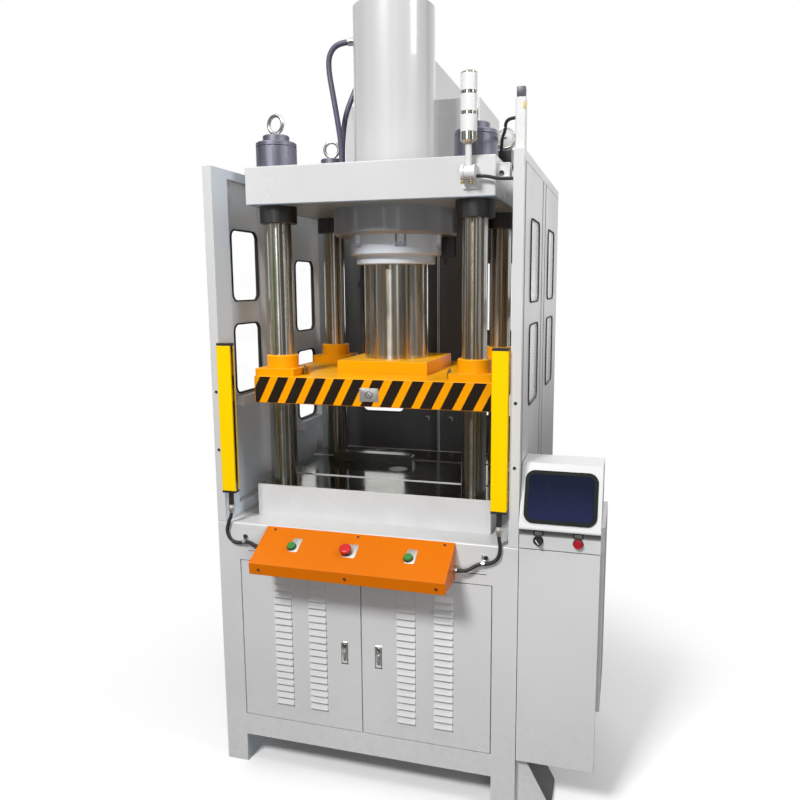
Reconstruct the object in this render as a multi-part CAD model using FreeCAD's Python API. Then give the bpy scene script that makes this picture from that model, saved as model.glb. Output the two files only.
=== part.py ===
import FreeCAD, Part

# Four-column hydraulic press with a base cabinet, side guards, light curtains,
# a two-hand control box and an operator cabinet on its right.
#
# Millimetres, +Z up. While it is modelled, X = 0 and Y = 0 is the ram's axis and
# Z = 0 the floor. +X is the operator's right and the operator stands at -Y.
# The finished pieces are then moved so that the origin is the middle of the
# machine's whole footprint on the floor.

import math
import os

from FreeCAD import Placement, Rotation, Vector

# ---------------------------------------------------------------- driving sizes
# Base cabinet
BASE_WIDTH = 1054.0
BASE_DEPTH = 1080.0
BASE_FRONT = 433.0          # from the ram's axis to the front face
DECK_TOP = 902.0
DECK_THICKNESS = 20.0
DECK_EDGE_RADIUS = 6.0
BASE_WALL = 8.0
BASE_FRONT_WALL = 20.0
BASE_FLOOR = 12.0
FOOT_HEIGHT = 106.0
FOOT_WIDTH = 80.0
FOOT_DEPTH = 160.0
BEARER_HEIGHT = 80.0
BEARER_WIDTH = 60.0
OUTRIGGER_REACH = 115.0
OUTRIGGER_HEIGHT = 232.0
OUTRIGGER_TOE = 16.0
OUTRIGGER_DEPTH = 150.0
OUTRIGGER_SETBACK = 22.0    # behind the base's front, clear of the cabinet's door
SEAM_DROP = 92.0            # from the deck's top down to the groove in the apron
SEAM_WIDTH = 3.0
SEAM_DEPTH = 2.0
SEAM_END_MARGIN = 104.0

# Doors of the base
DOORWAY_SIDE = 80.5         # front wall left of and right of the doorway
BASE_RAIL = 79.0            # front wall under the doorway
APRON_HEIGHT = 113.0        # front wall over the doorway, up to the deck plate
DOOR_GAP = 3.0
DOOR_SHEET = 2.0
DOOR_RETURN = 18.0
BEND_RADIUS = 1.8
PIVOT_INSET = 7.0
PIVOT_RADIUS = 3.0
PIVOT_LENGTH = 10.0
LOUVRE_PITCH = 24.8
LOUVRE_WIDTH = 64.0
LOUVRE_RISE = 18.0
LOUVRE_BULGE = 7.0
LOUVRE_SHEET = 1.5
LOUVRE_COLUMN = 64.0        # each louvre column's middle, from the door's middle
LOUVRE_LOW_MARGIN = 65.0    # from the doorway's bottom to the first louvre
LOUVRE_HIGH_MARGIN = 51.0
LATCH_WIDTH = 25.0
LATCH_HEIGHT = 85.0
LATCH_DEPTH = 9.0
LATCH_GAP = 0.6
LATCH_OFFSET = 61.0         # from the press axis to the latch's middle
LATCH_DROP = 4.0            # from the doorway's middle down to the latch's middle
LATCH_PIN_RADIUS = 1.5

# Columns, bolster (the fixed plate), crown
COLUMN_SPACING_X = 694.0
COLUMN_SPACING_Y = 502.0
COLUMN_RADIUS = 42.0
COLUMN_NECK_RADIUS = 32.0
PLATE_MARGIN_X = 74.0       # from a column's axis to the plates' sides
PLATE_MARGIN_Y = 80.0
PLATE_CHAMFER = 3.0
BOLSTER_THICKNESS = 115.0
TSLOT_OFFSET = 155.0
TSLOT_MOUTH = 22.0
TSLOT_MOUTH_DEPTH = 20.0
TSLOT_HEAD = 38.0
TSLOT_HEAD_DEPTH = 16.0
BORE_RADIUS = 36.0
BORE_CHAMFER = 2.0
STOP_WIDTH = 330.0
STOP_DEPTH = 40.0
STOP_HEIGHT = 38.0
STOP_SEAT = 3.0             # the stop is let into the plate by this
STOP_SHIFT = 128.0          # from the press axis to the stop's middle, to the left
STOP_FRONT = 70.0
STOP_END_RADIUS = 14.0
CROWN_RISE = 1083.0         # from the deck's top to the crown's underside
CROWN_THICKNESS = 125.0
CROWN_MARGIN_X = 79.0       # from a column's axis to the crown's sides
CROWN_MARGIN_Y = 85.0
COLLAR_RADIUS = 64.0
COLLAR_HEIGHT = 57.0
NUT_RADIUS = 69.0
NUT_HEIGHT = 87.0
NUT_GROOVE_HEIGHT = 70.0
NUT_GROOVE = 3.0
NUT_CAP_RADIUS = 45.0
NUT_CAP_HEIGHT = 24.0
BASE_NUT_HEIGHT = 54.0
EYE_RING_RADIUS = 29.0
EYE_WIRE_RADIUS = 6.5
EYE_COLLAR_RADIUS = 16.0
EYE_COLLAR_HEIGHT = 6.0
EYE_SHANK_RADIUS = 10.0
EYE_SHANK_LENGTH = 30.0
EYE_TURNS = (12.0, -8.0, 76.0, 20.0)    # each eye's turn in degrees

# Cylinder, gland and ram
RAM_RADIUS = 119.0
RUNNING_GAP = 0.05
PISTON_EDGE = 9.0           # the piston stands out past the ram by this
PISTON_HEIGHT = 100.0
PISTON_RISE = 190.0         # from the crown's top to the piston's underside
BARREL_WALL = 18.0
BARREL_RISE = 572.0         # above the crown
BARREL_END = 35.0
BARREL_EDGE = 8.0
BARREL_FLANGE_EDGE = 79.0   # the flange stands out past the barrel by this
BARREL_FLANGE_HEIGHT = 94.0
GLAND_EDGE = 22.0           # the gland stands out past the barrel by this
GLAND_HEIGHT = 70.0
GLAND_RING_WALL = 26.0
GLAND_RING_HEIGHT = 31.0
GLAND_SPIGOT = 60.0
GLAND_BOLTS = 6
GLAND_BOLT_INSET = 5.0      # from the gland's edge to its bolts' circle
GLAND_BOLT_TURN = -67.0
GLAND_POCKET_GAP = 5.0
GLAND_POCKET_HEIGHT = 42.0
BOLT_HEAD_RADIUS = 15.0
BOLT_HEAD_HEIGHT = 27.0
BOLT_SHANK_RADIUS = 10.0
BOLT_SHANK_LENGTH = 40.0
SENSOR_BLOCK = (45.0, 40.0, 80.0)
SENSOR_ANGLE = 18.0
SENSOR_GAP = 0.3
SENSOR_PIPE_RADIUS = 6.0
SENSOR_PIPE_LENGTH = 26.0

# Moving slide, its rod and its stripes
DAYLIGHT = 294.0            # from the bolster to the slide
SLIDE_THICKNESS = 94.0
RAM_PLATE_EDGE_X = 47.0     # the ram plate stands out past the ram by this
RAM_PLATE_EDGE_Y = 64.0
RAM_PLATE_HEIGHT = 46.0
BUSH_WALL = 14.0
BUSH_HEIGHT = 70.0
BUSH_FLANGE_EDGE = 18.0     # the square flange stands out past the bush by this
BUSH_FLANGE_HEIGHT = 25.0
BUSH_FLANGE_CORNER = 8.0
ROD_RADIUS = 7.0
ROD_GAP = 1.5               # from the ram plate's side to the rod
ROD_SETBACK = 115.0
ROD_LENGTH = 473.0
ROD_HOLE_GAP = 4.0
DOG_RISE = 300.0            # above the slide
DOG_SIZE = (30.0, 26.0, 28.0)
STRIPE_PITCH = 69.35
STRIPE_WIDTH = 40.0
STRIPE_SLANT = 46.0
STRIPE_MARGIN = 2.0
STRIPE_START = 23.0         # from the slide's left side to the first stripe's top
STRIPE_TAPE = 0.5

# Oil tank behind the cylinder, fittings of the hoses
TANK_WIDTH = 538.0
TANK_FRONT_GAP = 61.0       # from the barrel to the tank
TANK_HEIGHT = 301.0
TANK_NECK_WIDTH = 212.0
TANK_NECK_FRONT_GAP = 19.0
TANK_NECK_HEIGHT = 434.0
TANK_SHEET = 4.0
HOSE_RADIUS = 10.0
HOSE_END_WALL = 4.0
HOSE_END_LENGTH = 26.0
BARREL_PORT_RISE = 472.0     # the long hose's port, above the crown
TANK_PORT_INSET = 119.0      # the short hose's port, from the tank's left side
TANK_PORT_SETBACK = 43.0
CROWN_PORT_GAP = 83.0        # the short hose's foot, out from the barrel
CROWN_PORT_SETBACK = 66.0
HOSE_ARCH = 129.0            # the short hose's top, above the tank

# Guards
GUARD_DROP = 5.0            # from the crown's top down to the guards' top
GUARD_THICKNESS = 32.0
GUARD_SHEET = 3.0
POST_DEPTH = 100.0
REAR_POST_DEPTH = 60.0
MIDDLE_POST_DEPTH = 40.0
RAIL_HEIGHT = 30.0
SILL_HEIGHT = 40.0
SEAM_GROOVE = 2.0
WINDOW_POST_DEPTH = 60.0    # the post behind each column of windows
WINDOW_RAIL_HEIGHT = 36.0   # the rail under each column of windows
WINDOW_TRIM_GAP = 8.0       # from a window's opening to its post and its rail
WINDOW_RADIUS = 28.0
GASKET_WIDTH = 11.0
GASKET_PROUD = 4.0
PANE_THICKNESS = 5.0
# Each window: its middle's distance behind the panel's middle, its width, and its
# bottom and top above the guards' middle height.
RIGHT_FRONT_WINDOWS = (
    (-30.0, 220.0, -178.5, 83.5),
    (-30.0, 220.0, 156.5, 418.5),
)
RIGHT_REAR_WINDOWS = (
    (0.0, 220.0, -178.5, 83.5),
    (0.0, 220.0, 156.5, 418.5),
)
LEFT_FRONT_WINDOWS = (
    (-57.0, 190.0, -173.5, 76.5),
    (-57.0, 190.0, 159.5, 409.5),
)
LEFT_REAR_WINDOWS = (
    (-20.0, 180.0, -361.5, -65.5),
    (-20.0, 180.0, 20.5, 316.5),
)
# Each window of a rear door: its middle's distance from the door's middle towards the
# hinge, its width, and its bottom and top above the guards' middle height.
REAR_DOOR_WINDOWS = (
    (22.5, 207.0, -379.5, -81.5),
    (22.5, 207.0, 8.5, 307.5),
)
REAR_DOOR_RETURN = 20.0
LOCK_RADIUS = 12.0
LOCK_OFFSET = 55.0
LOCK_RISE = 198.0           # above the deck
LOCK_PROUD = 2.0

# Light curtains
CURTAIN_WIDTH = 50.0
CURTAIN_DEPTH = 30.0
CURTAIN_RISE = 119.0        # above the deck
CURTAIN_HEIGHT = 498.0
CURTAIN_CAP = 8.0
CURTAIN_POST_GAP = 4.0
CURTAIN_OVERHANG = 23.0     # the curtain's front, in front of the base's face
CURTAIN_EDGE = 2.0
LENS_WIDTH = 16.0
LENS_INSET = 1.0
LENS_DEPTH = 4.0
PLUG_RADIUS = 9.0
PLUG_LENGTH = 44.0
BRACKET_HEIGHT = 26.0
BRACKET_LEG = 30.0
BRACKET_SHEET = 4.0
BRACKET_MARGIN = 30.0
CABLE_RADIUS = 6.0
CLIP_WIDTH = 12.0
CLIP_WALL = 2.0
CLIP_GAP = 0.6
CLIP_TAB = 26.0
CLIP_SCREW_RADIUS = 4.5
CLIP_SCREW_HEIGHT = 3.0
GLAND_NUT_RADIUS = 11.0
GLAND_NUT_LENGTH = 12.0
LEFT_GLAND_DROP = 68.0       # the cables' glands, below the box's top
RIGHT_GLAND_DROP = 82.0

# Two-hand control box
BOX_WIDTH = 660.0
BOX_SHIFT = 4.0             # the box's middle lies this far to the left
BOX_DROP = 2.0              # from the deck's top down to the box's top
BOX_SLOPE = 80.0            # height of the sloping face
BOX_LIP = 38.0              # height of the front lip
BOX_REACH = 145.0
BOX_LIP_SETBACK = 4.0
BOX_SHEET = 2.0
BUTTON_SHIFT = 11.0         # the middle of the two green buttons, to the left
BUTTON_SPREAD = 402.0
STOP_BUTTON_SHIFT = 20.0
BUTTON_HOLE = 11.0
BEZEL_EDGE = 5.0            # the bezel stands out past its hole by this
BEZEL_HEIGHT = 5.0
BEZEL_NECK = 18.0
BEZEL_FLOOR = 0.5
CAP_INSET = 2.5             # from the bezel's edge to the cap
CAP_HEIGHT = 8.0
STEM_WALL = 2.5             # of the bezel's neck, around the stem
STEM_LENGTH = 12.0
BUTTON_TRAVEL = 4.0
BUTTON_CLEARANCE = 0.5
MUSHROOM_RADIUS = 19.5
MUSHROOM_HEIGHT = 14.0
MUSHROOM_TRAVEL = 5.0

# Operator cabinet
CABINET_GAP = 2.0           # between the base and the cabinet's door
CABINET_WIDTH = 249.0
CABINET_SIDE = 11.0         # the body stands out past the door on its right
CABINET_DEPTH = 320.0
CABINET_RISE = 78.0         # above the deck
CABINET_HEIGHT = 606.0
CABINET_SHEET = 2.0
CABINET_SETBACK = 30.0
CABINET_DOOR_DROP = 1.0     # from the deck's top down to the door's top
CABINET_DOOR_HEIGHT = 721.0
MOUTH_LEFT_MARGIN = 20.0
MOUTH_RIGHT_MARGIN = 30.0
MOUTH_END_MARGIN = 30.0
HEAD_GAP = 3.0              # over the door
STRIP_FACE = 62.0           # height of the face with the selector
HEAD_OVERHANG = 18.0
HEAD_LIP = 5.0
HEAD_HEIGHT = 261.0
HEAD_LEAN = 57.0
HEAD_TOP_DEPTH = 120.0
SCREEN_WIDTH = 198.0
SCREEN_HEIGHT = 140.0
SCREEN_BORDER = 12.0
SCREEN_PROUD = 4.0
SCREEN_RECESS = 1.5
SCREEN_CORNER = 18.0
SCREEN_DROP = 4.0           # below the slanted face's middle
STRIP_MIDDLE = 29.0         # the selector's height above the head's floor
SELECTOR_INSET = 59.0       # from the head's left side
RED_BUTTON_INSET = 180.0
KNOB_RADIUS = 12.0
KNOB_HEIGHT = 8.0
KNOB_GRIP = 12.0
KNOB_GRIP_WIDTH = 6.0
KNOB_GAP = 0.3
KNOB_TURN = 40.0            # the grip's turn to the left, in degrees
HINGE_LOW = 290.0           # the lugs' heights above the door's bottom
HINGE_HIGH = 650.0
HINGE_SIZE = 14.0
HINGE_LENGTH = 24.0
HINGE_GAP = 0.3
HINGE_BARREL_RADIUS = 6.5
HINGE_ARM = 8.0
HINGE_PIN_RADIUS = 4.0
HINGE_INSET_X = 11.0        # from the door's right side to the hinge's axis
HINGE_INSET_Y = 9.0

# Signal lamp on a folding foot, on the crown's front
LAMP_INSET = 78.0           # from the crown's right side
LAMP_FOOT_WIDTH = 52.0
LAMP_FOOT_HEIGHT = 74.0
LAMP_FOOT_RISE = 24.0       # above the crown's underside
LAMP_FOOT_SHEET = 6.0
LAMP_AXIS_RISE = 45.0       # above the foot's bottom
LAMP_CHEEK_RADIUS = 24.0
LAMP_CHEEK = 9.0
LAMP_GAP = 0.3
LAMP_KNUCKLE_WIDTH = 26.0
LAMP_KNUCKLE_RADIUS = 20.0
LAMP_SWING_GAP = 4.0
LAMP_PIN_RADIUS = 5.0
LAMP_POLE_RADIUS = 10.0
LAMP_POLE_LENGTH = 84.0
LAMP_CONE = 9.0
LAMP_CONE_EDGE = 4.0
LAMP_RADIUS = 25.5
LAMP_BASE_HEIGHT = 34.0
LENS_COUNT = 3
LENS_HEIGHT = 49.0
LENS_SPACER = 10.0
LAMP_CAP_HEIGHT = 8.0

# Mast on the right front post, gauge and valve block on the crown
MAST_WIDTH = 30.0
MAST_DEPTH = 34.0
MAST_HEIGHT = 146.0
MAST_INSET = 1.0
MAST_SETBACK = 14.0
MAST_CORNER = 5.0
MAST_CAP_WIDTH = 24.0
MAST_CAP_HEIGHT = 30.0
MAST_PORT_RISE = 92.0        # its wire, above the guard
VALVE_BLOCK = (44.0, 110.0, 42.0)
VALVE_BLOCK_OVERHANG = 18.0     # past the crown's right side
VALVE_BLOCK_SETBACK = 196.0     # behind the crown's front
GAUGE_RADIUS = 35.0
GAUGE_DEPTH = 30.0
GAUGE_STEM = 5.0
GAUGE_STEM_RADIUS = 8.0
GAUGE_SETBACK = 20.0
GAUGE_RIM = 4.0
WIRE_RADIUS = 5.0

# Pump set inside the base
MOTOR_RADIUS = 95.0
MOTOR_LENGTH = 290.0
MOTOR_FINS = 16
MOTOR_FIN = 8.0
MOTOR_FIN_SHEET = 4.0
MOTOR_FIN_MARGIN = 20.0
MOTOR_RISE = 118.0          # the motor's axis above the base's floor
MOTOR_FOOT = (200.0, 230.0, 18.0)
MOTOR_STAND = 100.0
MOTOR_SHIFT = 60.0          # to the left of the press axis
MOTOR_SETBACK = 120.0
TERMINAL_BOX = (90.0, 80.0, 65.0)
TERMINAL_SINK = 10.0
BELL_RADIUS = 80.0
BELL_LENGTH = 90.0
PUMP_RADIUS = 58.0
PUMP_LENGTH = 120.0
PORT_RADIUS = 16.0
PORT_LENGTH = 30.0

# ---------------------------------------------------------------- worked out
HALF_BASE = BASE_WIDTH / 2
FRONT = -BASE_FRONT
BACK = BASE_DEPTH - BASE_FRONT
MIDDLE = (FRONT + BACK) / 2
DECK_BOTTOM = DECK_TOP - DECK_THICKNESS
DOORWAY_HALF = HALF_BASE - DOORWAY_SIDE
DOORWAY_BOTTOM = FOOT_HEIGHT + BASE_RAIL
DOORWAY_TOP = DECK_BOTTOM - APRON_HEIGHT
LATCH_MIDDLE = (DOORWAY_BOTTOM + DOORWAY_TOP) / 2 - LATCH_DROP
BOLSTER_TOP = DECK_TOP + BOLSTER_THICKNESS
CROWN_BOTTOM = DECK_TOP + CROWN_RISE
CROWN_TOP = CROWN_BOTTOM + CROWN_THICKNESS
PLATE_HALF_X = COLUMN_SPACING_X / 2 + PLATE_MARGIN_X
PLATE_HALF_Y = COLUMN_SPACING_Y / 2 + PLATE_MARGIN_Y
CROWN_HALF_X = COLUMN_SPACING_X / 2 + CROWN_MARGIN_X
CROWN_HALF_Y = COLUMN_SPACING_Y / 2 + CROWN_MARGIN_Y
COLUMNS = [
    (sx * COLUMN_SPACING_X / 2, sy * COLUMN_SPACING_Y / 2)
    for sx in (-1, 1)
    for sy in (-1, 1)
]
BORE_OF_BARREL = RAM_RADIUS + PISTON_EDGE
BARREL_RADIUS = BORE_OF_BARREL + BARREL_WALL
BARREL_FLANGE_RADIUS = BARREL_RADIUS + BARREL_FLANGE_EDGE
BARREL_FLANGE_BOTTOM = CROWN_BOTTOM - BARREL_FLANGE_HEIGHT
BARREL_TOP = CROWN_TOP + BARREL_RISE
GLAND_RADIUS = BARREL_RADIUS + GLAND_EDGE
PISTON_BOTTOM = CROWN_TOP + PISTON_RISE
SLIDE_BOTTOM = BOLSTER_TOP + DAYLIGHT
SLIDE_TOP = SLIDE_BOTTOM + SLIDE_THICKNESS
RAM_PLATE_TOP = SLIDE_TOP + RAM_PLATE_HEIGHT
RAM_PLATE_HALF_X = RAM_RADIUS + RAM_PLATE_EDGE_X
RAM_PLATE_HALF_Y = RAM_RADIUS + RAM_PLATE_EDGE_Y
BUSH_RADIUS = COLUMN_RADIUS + BUSH_WALL
ROD_PLACE = (-RAM_PLATE_HALF_X - ROD_GAP - ROD_RADIUS, ROD_SETBACK)
TANK_FRONT = BARREL_RADIUS + TANK_FRONT_GAP
TANK_TOP = CROWN_TOP + TANK_HEIGHT
HOSE_END_RADIUS = HOSE_RADIUS + HOSE_END_WALL
BARREL_PORT = CROWN_TOP + BARREL_PORT_RISE
TANK_PORT_X = TANK_PORT_INSET - TANK_WIDTH / 2
TANK_PORT_Y = TANK_FRONT + TANK_PORT_SETBACK
CROWN_PORT_X = -BARREL_RADIUS - CROWN_PORT_GAP
CROWN_PORT_Y = CROWN_PORT_SETBACK
GUARD_TOP = CROWN_TOP - GUARD_DROP
GUARD_MIDDLE = (DECK_TOP + GUARD_TOP) / 2
POST_FACE = HALF_BASE - GUARD_THICKNESS
FRONT_PANEL = (FRONT + POST_DEPTH + MIDDLE - MIDDLE_POST_DEPTH / 2) / 2
REAR_PANEL = (MIDDLE + MIDDLE_POST_DEPTH / 2 + BACK - REAR_POST_DEPTH) / 2
CURTAIN_BOTTOM = DECK_TOP + CURTAIN_RISE
CURTAIN_FACE = FRONT - CURTAIN_OVERHANG
CURTAIN_Y = CURTAIN_FACE + CURTAIN_DEPTH / 2
CURTAIN_X = POST_FACE - CURTAIN_POST_GAP - CURTAIN_WIDTH / 2
PLUG_END = CURTAIN_BOTTOM - CURTAIN_CAP - PLUG_LENGTH
BOX_TOP = DECK_TOP - BOX_DROP
BOX_FOLD = BOX_TOP - BOX_SLOPE
BOX_BOTTOM = BOX_FOLD - BOX_LIP
BOX_FRONT = FRONT - BOX_REACH
BOX_LEFT = -BOX_SHIFT - BOX_WIDTH / 2
BOX_RIGHT = -BOX_SHIFT + BOX_WIDTH / 2
LEFT_GLAND = BOX_TOP - LEFT_GLAND_DROP
RIGHT_GLAND = BOX_TOP - RIGHT_GLAND_DROP
BEZEL_RADIUS = BUTTON_HOLE + BEZEL_EDGE
CAP_RADIUS = BEZEL_RADIUS - CAP_INSET
STEM_RADIUS = BUTTON_HOLE - STEM_WALL
CABINET_LEFT = HALF_BASE + CABINET_GAP
CABINET_RIGHT = HALF_BASE + CABINET_WIDTH
CABINET_SIDE_RIGHT = CABINET_RIGHT + CABINET_SIDE
CABINET_BODY_FRONT = FRONT + CABINET_SETBACK
CABINET_TOP = DECK_TOP + CABINET_RISE
CABINET_BOTTOM = CABINET_TOP - CABINET_HEIGHT
CABINET_DOOR_TOP = DECK_TOP - CABINET_DOOR_DROP
CABINET_DOOR_BOTTOM = CABINET_DOOR_TOP - CABINET_DOOR_HEIGHT
HEAD_FLOOR = CABINET_DOOR_TOP + HEAD_GAP
HEAD_TOP = HEAD_FLOOR + HEAD_HEIGHT
LAMP_X = CROWN_HALF_X - LAMP_INSET
LAMP_FOOT_BOTTOM = CROWN_BOTTOM + LAMP_FOOT_RISE
LAMP_AXIS_Z = LAMP_FOOT_BOTTOM + LAMP_AXIS_RISE
LAMP_AXIS_Y = -CROWN_HALF_Y - LAMP_FOOT_SHEET - LAMP_KNUCKLE_RADIUS - LAMP_SWING_GAP
LAMP_CHEEK_FACE = LAMP_X + LAMP_KNUCKLE_WIDTH / 2 + LAMP_GAP + LAMP_CHEEK
LAMP_BASE_BOTTOM = LAMP_AXIS_Z + LAMP_POLE_LENGTH
LAMP_BASE_TOP = LAMP_BASE_BOTTOM + LAMP_BASE_HEIGHT
MAST_LEFT = HALF_BASE - MAST_INSET - MAST_WIDTH
MAST_PORT_Y = FRONT + MAST_SETBACK + MAST_DEPTH / 2
MAST_PORT = GUARD_TOP + MAST_PORT_RISE
VALVE_LEFT = CROWN_HALF_X + VALVE_BLOCK_OVERHANG - VALVE_BLOCK[0]
VALVE_FRONT = -CROWN_HALF_Y + VALVE_BLOCK_SETBACK
VALVE_TOP = CROWN_TOP + VALVE_BLOCK[2]
MOTOR_FLOOR = FOOT_HEIGHT + BASE_FLOOR
MOTOR_AXIS = MOTOR_FLOOR + MOTOR_RISE
PLACE = Vector(
    -(CABINET_SIDE_RIGHT - HALF_BASE - GASKET_PROUD) / 2,
    -(BACK + GASKET_PROUD + BOX_FRONT) / 2,
    0.0,
)

# ---------------------------------------------------------------- cords' routes
def between(start, end, share):
    return start + (end - start) * share


LONG_HOSE = (
    (-BARREL_RADIUS - HOSE_END_LENGTH, 0.0, BARREL_PORT),
    (-BARREL_RADIUS - 6.8 * HOSE_RADIUS, 0.0, BARREL_PORT),
    (-BARREL_RADIUS - 10.2 * HOSE_RADIUS, 0.0, between(BARREL_PORT, CROWN_TOP, 0.072)),
    (-BARREL_RADIUS - 10.6 * HOSE_RADIUS, 0.2 * HOSE_RADIUS, between(BARREL_PORT, CROWN_TOP, 0.19)),
    (-BARREL_RADIUS - 8.8 * HOSE_RADIUS, 0.0, between(BARREL_PORT, CROWN_TOP, 0.394)),
    (-BARREL_RADIUS - 7.1 * HOSE_RADIUS, -0.2 * HOSE_RADIUS, between(BARREL_PORT, CROWN_TOP, 0.598)),
    (-BARREL_RADIUS - 6.0 * HOSE_RADIUS, 0.0, between(BARREL_PORT, CROWN_TOP, 0.775)),
    (-BARREL_RADIUS - 6.0 * HOSE_RADIUS, 0.0, CROWN_TOP + HOSE_END_LENGTH),
)
SHORT_HOSE = (
    (TANK_PORT_X, TANK_PORT_Y, TANK_TOP + HOSE_END_LENGTH),
    (TANK_PORT_X, TANK_PORT_Y, TANK_TOP + 0.643 * HOSE_ARCH),
    (between(TANK_PORT_X, CROWN_PORT_X, 0.05), between(TANK_PORT_Y, CROWN_PORT_Y, 0.228),
     TANK_TOP + HOSE_ARCH),
    (between(TANK_PORT_X, CROWN_PORT_X, 0.127), between(TANK_PORT_Y, CROWN_PORT_Y, 0.565),
     TANK_TOP + HOSE_ARCH),
    (between(TANK_PORT_X, CROWN_PORT_X, 0.177), between(TANK_PORT_Y, CROWN_PORT_Y, 0.804),
     TANK_TOP + 0.628 * HOSE_ARCH),
    (between(TANK_PORT_X, CROWN_PORT_X, 0.38), between(TANK_PORT_Y, CROWN_PORT_Y, 0.935),
     TANK_TOP + 0.163 * HOSE_ARCH),
    (between(TANK_PORT_X, CROWN_PORT_X, 0.81), between(TANK_PORT_Y, CROWN_PORT_Y, 0.989),
     between(CROWN_TOP, TANK_TOP, 0.804)),
    (between(TANK_PORT_X, CROWN_PORT_X, 0.975), CROWN_PORT_Y, between(CROWN_TOP, TANK_TOP, 0.512)),
    (CROWN_PORT_X, CROWN_PORT_Y, between(CROWN_TOP, TANK_TOP, 0.286)),
    (CROWN_PORT_X, CROWN_PORT_Y, CROWN_TOP + HOSE_END_LENGTH),
)
LEFT_CABLE = (
    (-CURTAIN_X, CURTAIN_Y, PLUG_END),
    (-CURTAIN_X, CURTAIN_Y, PLUG_END - 5.5 * CABLE_RADIUS),
    (-CURTAIN_X - 2.7 * CABLE_RADIUS, CURTAIN_Y, PLUG_END - 11.2 * CABLE_RADIUS),
    (-CURTAIN_X - 4.0 * CABLE_RADIUS, CURTAIN_Y, DECK_TOP - 6.0 * CABLE_RADIUS),
    (-CURTAIN_X - 1.2 * CABLE_RADIUS, CURTAIN_Y, DECK_TOP - 11.0 * CABLE_RADIUS),
    (BOX_LEFT - 17.7 * CABLE_RADIUS, CURTAIN_Y, DECK_TOP - 11.8 * CABLE_RADIUS),
    (BOX_LEFT - 11.7 * CABLE_RADIUS, CURTAIN_Y, DECK_TOP - 10.3 * CABLE_RADIUS),
    (BOX_LEFT - GLAND_NUT_LENGTH - 4.7 * CABLE_RADIUS, FRONT - 4.0 * CABLE_RADIUS, LEFT_GLAND),
    (BOX_LEFT - GLAND_NUT_LENGTH, FRONT - 4.0 * CABLE_RADIUS, LEFT_GLAND),
)
RIGHT_CABLE = (
    (CURTAIN_X, CURTAIN_Y, PLUG_END),
    (CURTAIN_X, CURTAIN_Y, PLUG_END - 5.8 * CABLE_RADIUS),
    (CURTAIN_X + 1.2 * CABLE_RADIUS, CURTAIN_Y, DECK_TOP - CABLE_RADIUS),
    (CURTAIN_X - 0.2 * CABLE_RADIUS, CURTAIN_Y, DECK_TOP - 6.8 * CABLE_RADIUS),
    (BOX_RIGHT + 18.3 * CABLE_RADIUS, CURTAIN_Y, DECK_TOP - 9.8 * CABLE_RADIUS),
    (BOX_RIGHT + 12.3 * CABLE_RADIUS, CURTAIN_Y, DECK_TOP - 10.3 * CABLE_RADIUS),
    (BOX_RIGHT + GLAND_NUT_LENGTH + 5.2 * CABLE_RADIUS, FRONT - 4.2 * CABLE_RADIUS, RIGHT_GLAND),
    (BOX_RIGHT + GLAND_NUT_LENGTH, FRONT - 4.2 * CABLE_RADIUS, RIGHT_GLAND),
)
LAMP_WIRE = (
    (LAMP_CHEEK_FACE, LAMP_AXIS_Y + 2.4 * WIRE_RADIUS, LAMP_AXIS_Z - 2.0 * WIRE_RADIUS),
    (LAMP_CHEEK_FACE + 6.0 * WIRE_RADIUS, LAMP_AXIS_Y + 2.4 * WIRE_RADIUS,
     LAMP_AXIS_Z - 2.0 * WIRE_RADIUS),
    (POST_FACE - 12.2 * WIRE_RADIUS, LAMP_AXIS_Y + 1.6 * WIRE_RADIUS,
     LAMP_AXIS_Z - 4.0 * WIRE_RADIUS),
    (POST_FACE - 5.4 * WIRE_RADIUS, LAMP_AXIS_Y + 1.2 * WIRE_RADIUS,
     LAMP_AXIS_Z - 4.4 * WIRE_RADIUS),
    (POST_FACE, LAMP_AXIS_Y + 1.2 * WIRE_RADIUS, LAMP_AXIS_Z - 4.4 * WIRE_RADIUS),
)
MAST_WIRE = (
    (MAST_LEFT, MAST_PORT_Y, MAST_PORT),
    (MAST_LEFT - 3.2 * WIRE_RADIUS, MAST_PORT_Y, MAST_PORT),
    (MAST_LEFT - 6.6 * WIRE_RADIUS, MAST_PORT_Y + 3.4 * WIRE_RADIUS,
     MAST_PORT - 1.2 * WIRE_RADIUS),
    (between(MAST_LEFT, VALVE_LEFT, 0.48), between(MAST_PORT_Y, VALVE_FRONT, 0.344),
     MAST_PORT - 3.2 * WIRE_RADIUS),
    (CROWN_HALF_X + 0.6 * WIRE_RADIUS, between(MAST_PORT_Y, VALVE_FRONT, 0.62),
     CROWN_TOP + 12.6 * WIRE_RADIUS),
    (CROWN_HALF_X - 1.6 * WIRE_RADIUS, between(MAST_PORT_Y, VALVE_FRONT, 0.84),
     CROWN_TOP + 9.6 * WIRE_RADIUS),
    (VALVE_LEFT + 2.0 * WIRE_RADIUS, between(MAST_PORT_Y, VALVE_FRONT, 0.94),
     CROWN_TOP + 4.2 * WIRE_RADIUS),
    (VALVE_LEFT + 2.0 * WIRE_RADIUS, VALVE_FRONT, CROWN_TOP + 4.2 * WIRE_RADIUS),
)


# ---------------------------------------------------------------- shape helpers
def block(x0, x1, y0, y1, z0, z1):
    return Part.makeBox(x1 - x0, y1 - y0, z1 - z0, Vector(x0, y0, z0))


def rod(x, y, z0, z1, radius):
    return Part.makeCylinder(radius, z1 - z0, Vector(x, y, z0))


def rod_along(start, direction, length, radius):
    return Part.makeCylinder(radius, length, Vector(*start), Vector(*direction))


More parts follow.
